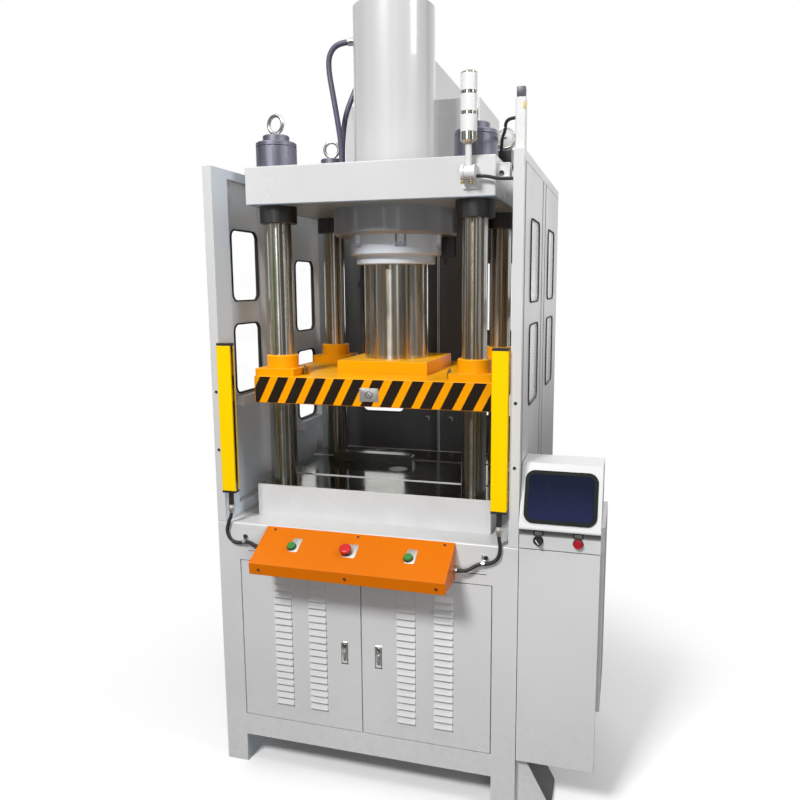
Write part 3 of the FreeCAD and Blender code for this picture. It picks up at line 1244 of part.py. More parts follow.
def rear_door(side):
    """A pan door in the guard's rear with two window openings and a key lock."""
    hinge_edge = side * (POST_FACE - DOOR_GAP)
    free_edge = side * DOOR_GAP / 2
    x0, x1 = min(hinge_edge, free_edge), max(hinge_edge, free_edge)
    z0, z1 = DECK_TOP + SILL_HEIGHT + DOOR_GAP, CROWN_TOP - SILL_HEIGHT - DOOR_GAP
    front = BACK - REAR_DOOR_RETURN
    pan = bent(block(x0, x1, front, BACK, z0, z1), BACK).cut(
        block(x0 + GUARD_SHEET, x1 - GUARD_SHEET, front - 1, BACK - GUARD_SHEET,
              z0 + GUARD_SHEET, z1 - GUARD_SHEET)
    )
    openings = [
        rounded_block(min(side * a, side * b), max(side * a, side * b),
                      BACK - GUARD_SHEET - 1, BACK + 1, low, high, WINDOW_RADIUS, "Y")
        for a, b, low, high in rear_openings()
    ]
    pins = [
        rod(rear_pivot_x(side), BACK - PIVOT_INSET, low, low + PIVOT_LENGTH, PIVOT_RADIUS)
        for low in (z0 - PIVOT_LENGTH + 1, z1 - 1)
    ]
    lock = rod_along((side * LOCK_OFFSET, front - LOCK_PROUD, DECK_TOP + LOCK_RISE),
                     (0, 1, 0), REAR_DOOR_RETURN + 2 * LOCK_PROUD, LOCK_RADIUS)
    return join([pan.cut(openings), lock] + pins)


def rear_windows(side):
    return group([
        turn_to_rear(piece, side) for w in rear_openings() for piece in window(1, w)
    ])


# ---------------------------------------------------------------- light curtains
def curtain_span(side):
    half = CURTAIN_WIDTH / 2
    return sorted((side * (CURTAIN_X + half), side * (CURTAIN_X - half)))


def curtain_housing(side):
    """The yellow profile, with its window groove facing the other curtain."""
    x0, x1 = curtain_span(side)
    y0 = CURTAIN_FACE
    z0, z1 = CURTAIN_BOTTOM, CURTAIN_BOTTOM + CURTAIN_HEIGHT
    bar = rounded_block(x0, x1, y0, y0 + CURTAIN_DEPTH, z0, z1, CURTAIN_EDGE, "Z")
    return bar.cut(inner_strip(side, -1, LENS_DEPTH, 1))


def inner_strip(side, start, end, beyond):
    """A strip along a curtain's inner face, between two depths from that face."""
    x0, x1 = curtain_span(side)
    face = x1 if side < 0 else x0
    low, high = sorted((face + side * start, face + side * end))
    return block(low, high, CURTAIN_Y - LENS_WIDTH / 2, CURTAIN_Y + LENS_WIDTH / 2,
                 CURTAIN_BOTTOM - beyond, CURTAIN_BOTTOM + CURTAIN_HEIGHT + beyond)


def curtain_lens(side):
    return inner_strip(side, LENS_INSET, LENS_DEPTH, 0)


def curtain_caps():
    """Black end caps, and the round plug under each lower one."""
    caps = []
    for side in (-1, 1):
        x0, x1 = curtain_span(side)
        y0 = CURTAIN_FACE
        top = CURTAIN_BOTTOM + CURTAIN_HEIGHT
        low = CURTAIN_BOTTOM - CURTAIN_CAP
        upper = rounded_block(x0, x1, y0, y0 + CURTAIN_DEPTH, top, top + CURTAIN_CAP,
                              CURTAIN_EDGE, "Z")
        lower = rounded_block(x0, x1, y0, y0 + CURTAIN_DEPTH, low, CURTAIN_BOTTOM,
                              CURTAIN_EDGE, "Z")
        plug = rod(side * CURTAIN_X, CURTAIN_Y, PLUG_END, low, PLUG_RADIUS)
        caps += [upper, join([lower, plug])]
    return group(caps)


def curtain_brackets():
    """Angle clips that hold each curtain to its front post."""
    clips = []
    for side in (-1, 1):
        back = CURTAIN_FACE + CURTAIN_DEPTH
        l0, l1 = sorted((side * POST_FACE, side * (POST_FACE - BRACKET_SHEET)))
        a0, a1 = sorted((side * POST_FACE, side * CURTAIN_X))
        for z in (CURTAIN_BOTTOM + BRACKET_MARGIN,
                  CURTAIN_BOTTOM + CURTAIN_HEIGHT - BRACKET_MARGIN - BRACKET_HEIGHT):
            leg = block(l0, l1, back, back + BRACKET_LEG, z, z + BRACKET_HEIGHT)
            arm = block(a0, a1, back, back + BRACKET_SHEET, z, z + BRACKET_HEIGHT)
            clips.append(join([leg, arm]))
    return clips


def cable_clip(start, end):
    """A P-clip around the middle of one run of a cable, with its screw."""
    start, end = Vector(*start), Vector(*end)
    middle = (start + end) * 0.5
    way = (end - start).normalize()
    half = way * (CLIP_WIDTH / 2)
    ring = Part.makeCylinder(CABLE_RADIUS + CLIP_WALL, CLIP_WIDTH, middle - half, way)
    hole = Part.makeCylinder(CABLE_RADIUS + CLIP_GAP, 2 * CLIP_WIDTH, middle - half * 2, way)
    x, z = middle.x, middle.z
    tab = block(x - CLIP_WIDTH / 2, x + CLIP_WIDTH / 2, FRONT - CLIP_WALL, FRONT,
                z, z + CLIP_TAB)
    screw = rod_along(
        (x, FRONT - CLIP_WALL - CLIP_SCREW_HEIGHT, z + CLIP_TAB - 2 * CLIP_SCREW_RADIUS),
        (0, 1, 0), CLIP_SCREW_HEIGHT, CLIP_SCREW_RADIUS)
    beyond = block(x - CLIP_TAB, x + CLIP_TAB, FRONT, FRONT + CLIP_TAB,
                   z - CLIP_TAB, z + 2 * CLIP_TAB)
    return join([ring, tab, screw]).cut([hole, beyond])


def cable_fixings():
    """P-clips with their screws, the glands of the box, and the curtain's angles."""
    pieces = curtain_brackets()
    pieces.append(cable_clip(*LEFT_CABLE[5:7]))
    pieces.append(cable_clip(*RIGHT_CABLE[4:6]))
    for side, points in ((-1, LEFT_CABLE), (1, RIGHT_CABLE)):
        pieces.append(rod_along(points[-1], (-side, 0, 0), GLAND_NUT_LENGTH,
                                GLAND_NUT_RADIUS))
    return group(pieces)


# ---------------------------------------------------------------- push buttons
def on_panel(shape, point, lean):
    """Puts a piece made about +Z onto a panel whose normal leans from -Y to +Z."""
    shape = shape.copy()
    shape.Placement = Placement(Vector(*point), Rotation(Vector(1, 0, 0), 90 - lean))
    return shape


def bezel():
    """The ring of a push button, its neck through the panel."""
    recess = CAP_RADIUS + RUNNING_GAP
    neck_bore = STEM_RADIUS + RUNNING_GAP
    return turned([
        (neck_bore, -BEZEL_NECK), (BUTTON_HOLE, -BEZEL_NECK), (BUTTON_HOLE, 0),
        (BEZEL_RADIUS, 0), (BEZEL_RADIUS, BEZEL_HEIGHT - 1),
        (BEZEL_RADIUS - 1, BEZEL_HEIGHT), (recess, BEZEL_HEIGHT), (recess, BEZEL_FLOOR),
        (neck_bore, BEZEL_FLOOR),
    ])


def stem(low):
    """A push button's stem below its cap, as section points."""
    return [(0, -STEM_LENGTH), (STEM_RADIUS, -STEM_LENGTH), (STEM_RADIUS, low)]


def push_cap():
    low = BEZEL_FLOOR + BUTTON_TRAVEL + BUTTON_CLEARANCE
    top = low + CAP_HEIGHT
    return turned(stem(low) + [
        (CAP_RADIUS, low), (CAP_RADIUS, top - 1), (CAP_RADIUS - 1, top), (0, top),
    ])


def mushroom():
    low = BEZEL_HEIGHT + MUSHROOM_TRAVEL + BUTTON_CLEARANCE
    top = low + MUSHROOM_HEIGHT
    return turned(stem(low) + [
        (MUSHROOM_RADIUS - 2, low), (MUSHROOM_RADIUS, low + 3),
        (MUSHROOM_RADIUS, top - 4), (MUSHROOM_RADIUS - 1.5, top - 1.5),
        (MUSHROOM_RADIUS - 5, top), (0, top),
    ])


def selector_knob():
    low = BEZEL_HEIGHT + KNOB_GAP
    disc = turned(stem(low) + [
        (KNOB_RADIUS, low), (KNOB_RADIUS, low + KNOB_HEIGHT), (0, low + KNOB_HEIGHT),
    ])
    grip = block(-KNOB_GRIP_WIDTH / 2, KNOB_GRIP_WIDTH / 2, -KNOB_RADIUS, KNOB_RADIUS,
                 low, low + KNOB_HEIGHT + KNOB_GRIP)
    grip.rotate(Vector(0, 0, 0), Vector(0, 0, 1), KNOB_TURN)
    return join([disc, grip])


def box_section():
    return [
        (FRONT, BOX_BOTTOM), (BOX_FRONT + BOX_LIP_SETBACK, BOX_BOTTOM),
        (BOX_FRONT, BOX_FOLD), (FRONT, BOX_TOP),
    ]


def box_lean():
    """The sloping face's normal, in degrees from -Y towards +Z."""
    return math.degrees(math.atan2(BOX_REACH, BOX_SLOPE))


def box_point(x):
    """The middle of the sloping face at x."""
    return (x, (FRONT + BOX_FRONT) / 2, (BOX_TOP + BOX_FOLD) / 2)


def box_button_places():
    """Where the left green button, the stop and the right green button stand."""
    return [
        -BUTTON_SHIFT - BUTTON_SPREAD / 2, -STOP_BUTTON_SHIFT,
        -BUTTON_SHIFT + BUTTON_SPREAD / 2,
    ]


def control_box():
    shell = folded_box_x(box_section(), BOX_LEFT, BOX_RIGHT, BOX_SHEET)
    hole = Part.makeCylinder(BUTTON_HOLE, 6 * BOX_SHEET, Vector(0, 0, -3 * BOX_SHEET))
    holes = [on_panel(hole, box_point(x), box_lean()) for x in box_button_places()]
    cable_holes = [
        rod_along((x - 2 * BOX_SHEET, points[-1][1], points[-1][2]), (1, 0, 0),
                  4 * BOX_SHEET, CABLE_RADIUS)
        for x, points in ((BOX_LEFT, LEFT_CABLE), (BOX_RIGHT, RIGHT_CABLE))
    ]
    return shell.cut(holes + cable_holes)


def strip_points():
    """Where the selector and the red button stand on the head's upright face."""
    height = HEAD_FLOOR + STRIP_MIDDLE
    return [
        (CABINET_LEFT + SELECTOR_INSET, FRONT, height),
        (CABINET_LEFT + RED_BUTTON_INSET, FRONT, height),
    ]


def button_bezels():
    placed = [on_panel(bezel(), box_point(x), box_lean()) for x in box_button_places()]
    placed += [on_panel(bezel(), point, 0) for point in strip_points()]
    return group(placed)


# ---------------------------------------------------------------- operator cabinet
def head_section():
    face_top = FRONT + HEAD_LEAN
    lip = HEAD_FLOOR + STRIP_FACE
    return [
        (FRONT, HEAD_FLOOR), (FRONT, lip), (FRONT - HEAD_OVERHANG, lip + HEAD_LIP),
        (FRONT - HEAD_OVERHANG, lip + 2 * HEAD_LIP), (face_top, HEAD_TOP),
        (face_top + HEAD_TOP_DEPTH, HEAD_TOP), (face_top + HEAD_TOP_DEPTH, CABINET_TOP),
        (CABINET_BODY_FRONT, CABINET_TOP),
        (CABINET_BODY_FRONT, HEAD_FLOOR),
    ]


def screen_middle():
    """The middle of the slanted face, and its lean from -Y towards +Z."""
    low = Vector(0, FRONT - HEAD_OVERHANG, HEAD_FLOOR + STRIP_FACE + 2 * HEAD_LIP)
    high = Vector(0, FRONT + HEAD_LEAN, HEAD_TOP)
    middle = (low + high) * 0.5 + (low - high).normalize() * SCREEN_DROP
    lean = math.degrees(math.atan2(high.y - low.y, high.z - low.z))
    x = (CABINET_LEFT + CABINET_RIGHT) / 2
    return (x, middle.y, middle.z), lean


def hmi_head():
    shell = folded_box_x(head_section(), CABINET_LEFT, CABINET_RIGHT, CABINET_SHEET)
    hole = Part.makeCylinder(BUTTON_HOLE, 6 * CABINET_SHEET, Vector(0, 0, -3 * CABINET_SHEET))
    holes = [on_panel(hole, point, 0) for point in strip_points()]
    return shell.cut(holes)


def screen_plate(width, height, low, high, radius):
    plate = rounded_block(-width / 2, width / 2, -height / 2, height / 2, low, high,
                          radius, "Z")
    point, lean = screen_middle()
    return on_panel(plate, point, lean)


def hmi_bezel():
    outer = screen_plate(SCREEN_WIDTH + 2 * SCREEN_BORDER, SCREEN_HEIGHT + 2 * SCREEN_BORDER,
                         0, SCREEN_PROUD, SCREEN_CORNER + SCREEN_BORDER)
    return outer.cut(screen_plate(SCREEN_WIDTH, SCREEN_HEIGHT, -1, SCREEN_PROUD + 1,
                                  SCREEN_CORNER))


def hmi_screen():
    return screen_plate(SCREEN_WIDTH, SCREEN_HEIGHT, 0, SCREEN_PROUD - SCREEN_RECESS,
                        SCREEN_CORNER)


def hinge_axis():
    """The cabinet door's hinge axis, near its right edge."""
    return CABINET_RIGHT - HINGE_INSET_X, FRONT + HINGE_INSET_Y


def hinge_heights():
    return [CABINET_DOOR_BOTTOM + HINGE_LOW, CABINET_DOOR_BOTTOM + HINGE_HIGH]


def cabinet_body():
    t = CABINET_SHEET
    back = FRONT + CABINET_DEPTH
    body = block(HALF_BASE, CABINET_SIDE_RIGHT, CABINET_BODY_FRONT, back,
                 CABINET_BOTTOM, CABINET_TOP)
    room = block(HALF_BASE + t, CABINET_SIDE_RIGHT - t, CABINET_BODY_FRONT + t, back - t,
                 CABINET_BOTTOM + t, CABINET_TOP - t)
    mouth = block(CABINET_LEFT + MOUTH_LEFT_MARGIN, CABINET_RIGHT - MOUTH_RIGHT_MARGIN,
                  CABINET_BODY_FRONT - 1, CABINET_BODY_FRONT + t + 1,
                  CABINET_BOTTOM + MOUTH_END_MARGIN, HEAD_FLOOR - MOUTH_END_MARGIN)
    x, y = hinge_axis()
    lugs, holes = [], []
    for z in hinge_heights():
        lugs.append(rod(x, y, z, z + HINGE_LENGTH, HINGE_BARREL_RADIUS))
        lugs.append(block(x - HINGE_ARM / 2, x + HINGE_ARM / 2, y, CABINET_BODY_FRONT + t,
                          z, z + HINGE_LENGTH))
        holes.append(rod(x, y, z - 1, z + HINGE_LENGTH + 1, HINGE_PIN_RADIUS + RUNNING_GAP))
    return join([body.cut([room, mouth])] + lugs).cut(holes)


def cabinet_door():
    """A tall pan door that hangs on two pins and reaches below the cabinet."""
    t = CABINET_SHEET
    back = FRONT + DOOR_RETURN
    pan = bent(block(CABINET_LEFT, CABINET_RIGHT, FRONT, back,
                     CABINET_DOOR_BOTTOM, CABINET_DOOR_TOP), FRONT)
    pan = pan.cut(block(CABINET_LEFT + t, CABINET_RIGHT - t, FRONT + t, back + 1,
                        CABINET_DOOR_BOTTOM + t, CABINET_DOOR_TOP - t))
    x, y = hinge_axis()
    hangers, notches = [], []
    for z in hinge_heights():
        above = z + HINGE_LENGTH + HINGE_GAP
        hangers.append(block(x - HINGE_SIZE / 2, CABINET_RIGHT - t, FRONT + t,
                             y + HINGE_SIZE / 2, above, above + HINGE_LENGTH))
        hangers.append(rod(x, y, z + 2, above + 1, HINGE_PIN_RADIUS))
        notches.append(block(CABINET_RIGHT - t - 1, CABINET_RIGHT + 1, FRONT + t, back + 1,
                             z - 1, above))
    return join([pan.cut(notches)] + hangers)


# ---------------------------------------------------------------- signal lamp
def lamp_foot():
    """A foot plate with two round cheeks for the folding joint."""
    face = -CROWN_HALF_Y
    y, z = LAMP_AXIS_Y, LAMP_AXIS_Z
    plate = rounded_block(
        LAMP_X - LAMP_FOOT_WIDTH / 2, LAMP_X + LAMP_FOOT_WIDTH / 2,
        face - LAMP_FOOT_SHEET, face, LAMP_FOOT_BOTTOM,
        LAMP_FOOT_BOTTOM + LAMP_FOOT_HEIGHT, LAMP_CHEEK, "Y",
    )
    pieces = [plate]
    inner = LAMP_KNUCKLE_WIDTH / 2 + LAMP_GAP
    for x0 in (LAMP_X + inner, LAMP_X - inner - LAMP_CHEEK):
        disc = rod_along((x0, y, z), (1, 0, 0), LAMP_CHEEK, LAMP_CHEEK_RADIUS)
        web = block(x0, x0 + LAMP_CHEEK, y, face, z - LAMP_CHEEK_RADIUS,
                    z + LAMP_CHEEK_RADIUS)
        pieces += [disc, web]
    pin = rod_along((LAMP_X - LAMP_FOOT_WIDTH, y, z), (1, 0, 0), 2 * LAMP_FOOT_WIDTH,
                    LAMP_PIN_RADIUS + RUNNING_GAP)
    return join(pieces).cut(pin)


def lamp_pole():
    y, z = LAMP_AXIS_Y, LAMP_AXIS_Z
    half = LAMP_KNUCKLE_WIDTH / 2
    knuckle = rod_along((LAMP_X - half, y, z), (1, 0, 0), 2 * half, LAMP_KNUCKLE_RADIUS)
    reach = half + LAMP_GAP + LAMP_CHEEK
    pin = rod_along((LAMP_X - reach, y, z), (1, 0, 0), 2 * reach, LAMP_PIN_RADIUS)
    pole = rod(LAMP_X, y, z, LAMP_BASE_BOTTOM, LAMP_POLE_RADIUS)
    return join([knuckle, pin, pole])


def lamp_lens_bottom(i):
    return LAMP_BASE_TOP + i * (LENS_HEIGHT + LENS_SPACER)


def lamp_trim():
    """The lamp's metal base, the dark spacers between its lenses, and its cap."""
    y = LAMP_AXIS_Y
    base = turned([
        (0, LAMP_BASE_BOTTOM), (LAMP_POLE_RADIUS + LAMP_CONE_EDGE, LAMP_BASE_BOTTOM),
        (LAMP_RADIUS, LAMP_BASE_BOTTOM + LAMP_CONE), (LAMP_RADIUS, LAMP_BASE_TOP),
        (0, LAMP_BASE_TOP),
    ], LAMP_X, y)
    pieces = [base]
    for i in range(LENS_COUNT - 1):
        top = lamp_lens_bottom(i) + LENS_HEIGHT
        pieces.append(rod(LAMP_X, y, top, top + LENS_SPACER, LAMP_RADIUS - 1))
    top = lamp_lens_bottom(LENS_COUNT - 1) + LENS_HEIGHT
    pieces.append(turned([
        (0, top), (LAMP_RADIUS, top), (LAMP_RADIUS, top + 3),
        (LAMP_RADIUS - 6, top + LAMP_CAP_HEIGHT), (0, top + LAMP_CAP_HEIGHT),
    ], LAMP_X, y))
    return group(pieces)


def lamp_lenses():
    return group([
        rod(LAMP_X, LAMP_AXIS_Y, lamp_lens_bottom(i), lamp_lens_bottom(i) + LENS_HEIGHT, LAMP_RADIUS)
        for i in range(LENS_COUNT)
    ])


# ---------------------------------------------------------------- on the crown
def mast():
    """A square upright with a smaller cap, on the right front post."""
    x0, x1 = MAST_LEFT, MAST_LEFT + MAST_WIDTH
    y0 = FRONT + MAST_SETBACK
    body = rounded_block(x0, x1, y0, y0 + MAST_DEPTH, GUARD_TOP, GUARD_TOP + MAST_HEIGHT,
                         MAST_CORNER, "Z")
    middle_x, middle_y = (x0 + x1) / 2, y0 + MAST_DEPTH / 2
    half = MAST_CAP_WIDTH / 2
    cap = block(middle_x - half, middle_x + half, middle_y - half, middle_y + half,
                GUARD_TOP + MAST_HEIGHT, GUARD_TOP + MAST_HEIGHT + MAST_CAP_HEIGHT)
    return group([body, cap])


def hydraulic_blocks():
    """The valve block on the crown and the switch block beside the gland."""
    wide, deep, _ = VALVE_BLOCK
    valve = block(VALVE_LEFT, VALVE_LEFT + wide, VALVE_FRONT, VALVE_FRONT + deep,
                  CROWN_TOP, VALVE_TOP)
    wide, deep, high = SENSOR_BLOCK
    turn = math.radians(SENSOR_ANGLE)
    x = (GLAND_RADIUS + SENSOR_GAP) * math.cos(turn)
    y = (GLAND_RADIUS + SENSOR_GAP) * math.sin(turn)
    top = BARREL_FLANGE_BOTTOM
    sensor = block(x, x + wide, y, y + deep, top - high, top)
    pipe = rod(x + wide / 4, y + deep / 2, top - high - SENSOR_PIPE_LENGTH, top - high,
               SENSOR_PIPE_RADIUS)
    return group([valve, join([sensor, pipe])])


def pressure_gauge():
    """A round gauge on a short stem, facing the operator."""
    x = VALVE_LEFT + VALVE_BLOCK[0] / 2
    y = VALVE_FRONT + GAUGE_SETBACK
    middle = VALVE_TOP + GAUGE_STEM + GAUGE_RADIUS
    front = y - GAUGE_DEPTH / 2
    neck = rod(x, y, VALVE_TOP, middle, GAUGE_STEM_RADIUS)
    case = rod_along((x, front, middle), (0, 1, 0), GAUGE_DEPTH, GAUGE_RADIUS)
    dial = rod_along((x, front - 1, middle), (0, 1, 0), GAUGE_RIM, GAUGE_RADIUS - GAUGE_RIM)
    return join([case, neck]).cut(dial)


# ---------------------------------------------------------------- pump set
def motor():
    """A finned motor on its feet, on the base's floor."""
    x, y, z = -MOTOR_SHIFT, MOTOR_SETBACK, MOTOR_AXIS
    x0 = x - MOTOR_LENGTH / 2
    body = rod_along((x0, y, z), (1, 0, 0), MOTOR_LENGTH, MOTOR_RADIUS)
    fins = []
    for i in range(MOTOR_FINS):
        fin = block(x0 + MOTOR_FIN_MARGIN, x0 + MOTOR_LENGTH - MOTOR_FIN_MARGIN,
                    y - MOTOR_FIN_SHEET / 2, y + MOTOR_FIN_SHEET / 2,
                    z + MOTOR_RADIUS - MOTOR_FIN_SHEET, z + MOTOR_RADIUS + MOTOR_FIN)
        fin.rotate(Vector(0, y, z), Vector(1, 0, 0), -100 + i * 200 / (MOTOR_FINS - 1))
        fins.append(fin)
    long, deep, high = MOTOR_FOOT
    foot = block(x - long / 2, x + long / 2, y - deep / 2, y + deep / 2,
                 MOTOR_FLOOR, MOTOR_FLOOR + high)
    stand = block(x - long / 2, x + long / 2, y - MOTOR_STAND / 2, y + MOTOR_STAND / 2,
                  MOTOR_FLOOR, z)
    long, deep, high = TERMINAL_BOX
    low = z + MOTOR_RADIUS - TERMINAL_SINK
    terminal = block(x - long / 2, x + long / 2, y - deep / 2, y + deep / 2, low, low + high)
    return join([body, foot, stand, terminal] + fins)


def oil_pump():
    """The bell housing and the pump on the motor's end."""
    x, y, z = MOTOR_LENGTH / 2 - MOTOR_SHIFT, MOTOR_SETBACK, MOTOR_AXIS
    bell = rod_along((x, y, z), (1, 0, 0), BELL_LENGTH, BELL_RADIUS)
    pump = rod_along((x + BELL_LENGTH, y, z), (1, 0, 0), PUMP_LENGTH, PUMP_RADIUS)
    port = rod(x + BELL_LENGTH + PUMP_LENGTH / 2, y, z, z + PUMP_RADIUS + PORT_LENGTH,
               PORT_RADIUS)
    return join([bell, pump, port])


# ---------------------------------------------------------------- all the pieces
def pieces():
    left_x, stop_x, right_x = box_button_places()
    selector_point, red_point = strip_points()
    lean = box_lean()
    return {
        "base_frame": base_frame(),
        "deck_plate": deck_plate(),
        "bolster": bolster(),
        "rear_stop": rear_stop(),
        "columns": group([column(x, y) for x, y in COLUMNS]),
        "column_collars": group([collar(x, y) for x, y in COLUMNS]),
        "column_nuts": group([column_nut(x, y) for x, y in COLUMNS]
                             + [base_nut(x, y) for x, y in COLUMNS]),
        "eyebolts": group([eyebolt(x, y, a) for (x, y), a in zip(COLUMNS, EYE_TURNS)]),
        "crown": crown(),
        "cylinder_barrel": cylinder_barrel(),
        "gland_flange": gland_flange(),
        "gland_bolts": gland_bolts(),
        "hydraulic_blocks": hydraulic_blocks(),
        "pressure_gauge": pressure_gauge(),
        "oil_tank": oil_tank(),
        "long_hose": tube("long_hose", LONG_HOSE, HOSE_RADIUS),
        "short_hose": tube("short_hose", SHORT_HOSE, HOSE_RADIUS),
        "hose_fittings": hose_ends(),
        "left_guard": guard(-1),
        "right_guard": guard(1),
        "rear_rails": rear_rails(),
        "side_windows": side_windows(),
        "curtain_housings": group([curtain_housing(-1), curtain_housing(1)]),
        "curtain_caps": curtain_caps(),
        "curtain_lenses": group([curtain_lens(-1), curtain_lens(1)]),
        "curtain_cables": group([
            tube("left curtain cable", LEFT_CABLE, CABLE_RADIUS),
            tube("right curtain cable", RIGHT_CABLE, CABLE_RADIUS),
        ]),
        "cable_fixings": cable_fixings(),
        "control_box": control_box(),
        "button_bezels": button_bezels(),
        "cabinet_body": cabinet_body(),
        "hmi_head": hmi_head(),
        "hmi_bezel": hmi_bezel(),
        "hmi_screen": hmi_screen(),
        "lamp_foot": lamp_foot(),
        "mast": mast(),
        "signal_wires": group([
            tube("lamp wire", LAMP_WIRE, WIRE_RADIUS),
            tube("mast wire", MAST_WIRE, WIRE_RADIUS),
        ]),
        "pump_set": group([motor(), oil_pump()]),
        "ram": ram(),
        "slide": slide(),
        "ram_plate": ram_plate(),
        "guide_bushes": group([guide_bush(x, y) for x, y in COLUMNS]),
        "stroke_rod": stroke_rod(),
        "hazard_stripes": hazard_stripes(),
        "left_door": base_door(-1),
        "right_door": base_door(1),
        "left_latch": latch(-1),
        "right_latch": latch(1),
        "cabinet_door": cabinet_door(),
        "rear_left_door": rear_door(-1),
        "rear_right_door": rear_door(1),
        "rear_left_windows": rear_windows(-1),
        "rear_right_windows": rear_windows(1),
        "left_button": on_panel(push_cap(), box_point(left_x), lean),
        "right_button": on_panel(push_cap(), box_point(right_x), lean),
        "emergency_stop": on_panel(mushroom(), box_point(stop_x), lean),
        "mode_selector": on_panel(selector_knob(), selector_point, 0),
        "red_button": on_panel(push_cap(), red_point, 0),
        "lamp_pole": lamp_pole(),
        "lamp_trim": lamp_trim(),
        "lamp_lenses": lamp_lenses(),
    }


def main():
    os.makedirs("parts", exist_ok=True)
    for name, shape in pieces().items():
        shape = shape.copy()
        shape.translate(PLACE)
        shape.exportStep(os.path.join("parts", name + ".step"))


main()
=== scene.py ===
"""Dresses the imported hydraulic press: finishes, windows, hoses, labels, small parts and stage."""

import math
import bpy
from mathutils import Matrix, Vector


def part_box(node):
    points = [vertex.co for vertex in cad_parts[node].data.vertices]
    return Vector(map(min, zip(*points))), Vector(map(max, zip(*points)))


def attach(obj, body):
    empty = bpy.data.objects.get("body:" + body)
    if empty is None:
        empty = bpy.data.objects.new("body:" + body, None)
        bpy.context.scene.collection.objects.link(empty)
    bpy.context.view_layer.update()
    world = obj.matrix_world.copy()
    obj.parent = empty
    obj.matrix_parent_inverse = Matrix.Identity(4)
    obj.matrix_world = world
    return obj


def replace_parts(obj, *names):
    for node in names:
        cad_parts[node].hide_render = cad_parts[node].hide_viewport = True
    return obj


bl_info = {
    "name": "Hydraulic Press",
    "version": (1, 0, 0),
    "blender": (4, 5, 0),
    "location": "3D View > Sidebar > Press",
    "description": "Finishes, windows, cables and small parts of a four-column press",
    "category": "Object",
}

import bmesh
import bpy
from bpy.props import FloatProperty, FloatVectorProperty, IntProperty, PointerProperty
from mathutils import Matrix, Vector

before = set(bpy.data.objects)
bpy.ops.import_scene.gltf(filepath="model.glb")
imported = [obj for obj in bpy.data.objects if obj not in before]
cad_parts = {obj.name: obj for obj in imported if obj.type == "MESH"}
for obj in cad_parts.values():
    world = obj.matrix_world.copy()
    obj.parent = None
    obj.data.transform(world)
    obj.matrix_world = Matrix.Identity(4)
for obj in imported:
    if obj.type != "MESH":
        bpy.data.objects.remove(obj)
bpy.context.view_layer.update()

FRAME_BODY = "press_frame"
SLIDE_BODY = "moving_slide"

# Main places in millimetres from the ram's axis, as the press is drawn
AXIS_X, AXIS_Y = -128.0, -36.5
HALF_BASE = 527.0
FRONT, BACK = -433.0, 647.0
DECK_TOP = 902.0
GUARD_TOP = 2105.0
GUARD_MIDDLE = 1503.5
FRONT_PANEL, REAR_PANEL = -123.0, 357.0
CURTAIN_X, CURTAIN_Y, PLUG_END = 466.0, -441.0, 969.0
SIDES = ((-1, "left"), (1, "right"))     # which way X runs, and the word for it


def at(x, y, z):
    """A point of the press in metres, from millimetres measured at the ram's axis."""
    return Vector(((x + AXIS_X) / 1000, (y + AXIS_Y) / 1000, z / 1000))


# ---------------------------------------------------------------- settings
class PressColours(bpy.types.PropertyGroup):
    """The colours of the press's painted and moulded parts, and the painted shade inside the rear
    doors.
    """

    paint: FloatVectorProperty(
        name="Frame paint", description="Light grey-white paint of the frame and covers",
        subtype="COLOR", size=3, min=0, max=1, default=(0.60, 0.60, 0.60))
    # Painted shade: this dark grey stands for the shadow on the rear doors' inner side
    inner_shade: FloatVectorProperty(
        name="Inner paint", description="Dark grey inner side of the rear doors",
        subtype="COLOR", size=3, min=0, max=1, default=(0.085, 0.087, 0.09))
    slide: FloatVectorProperty(
        name="Slide", description="Amber orange of the moving slide",
        subtype="COLOR", size=3, min=0, max=1, default=(0.88, 0.335, 0.0))
    box: FloatVectorProperty(
        name="Control box", description="Orange of the two-hand control box",
        subtype="COLOR", size=3, min=0, max=1, default=(0.62, 0.145, 0.0012))
    curtain: FloatVectorProperty(
        name="Light curtains", description="Yellow of the light curtain housings",
        subtype="COLOR", size=3, min=0, max=1, default=(0.95, 0.60, 0.0))
    nut: FloatVectorProperty(
        name="Column nuts", description="Blue-grey oxide of the column nuts",
        subtype="COLOR", size=3, min=0, max=1, default=(0.25, 0.25, 0.31))


class PressSizes(bpy.types.PropertyGroup):
    """Sizes of the parts that dress the press."""

    gasket_width: FloatProperty(
        name="Gasket width", description="Width of the rubber round each window",
        subtype="DISTANCE", unit="LENGTH", default=0.005)
    gasket_proud: FloatProperty(
        name="Gasket height", description="How far the rubber stands out of the sheet",
        subtype="DISTANCE", unit="LENGTH", default=0.004)
    window_radius: FloatProperty(
        name="Window corner", description="Corner radius of the windows",
        subtype="DISTANCE", unit="LENGTH", default=0.028)
    pane: FloatProperty(
        name="Pane", description="Thickness of the clear panes",
        subtype="DISTANCE", unit="LENGTH", default=0.005)
    hose: FloatProperty(
        name="Hose radius", description="Outer radius of the two hydraulic hoses",
        subtype="DISTANCE", unit="LENGTH", default=0.010)
    cable: FloatProperty(
        name="Curtain cable radius", description="Outer radius of the light curtains' cables",
        subtype="DISTANCE", unit="LENGTH", default=0.006)
    wire: FloatProperty(
        name="Wire radius", description="Outer radius of the lamp's and the mast's wires",
        subtype="DISTANCE", unit="LENGTH", default=0.005)
    screw_sides: IntProperty(
        name="Screw sides", description="Sides of a small round screw head",
        default=24, min=8)


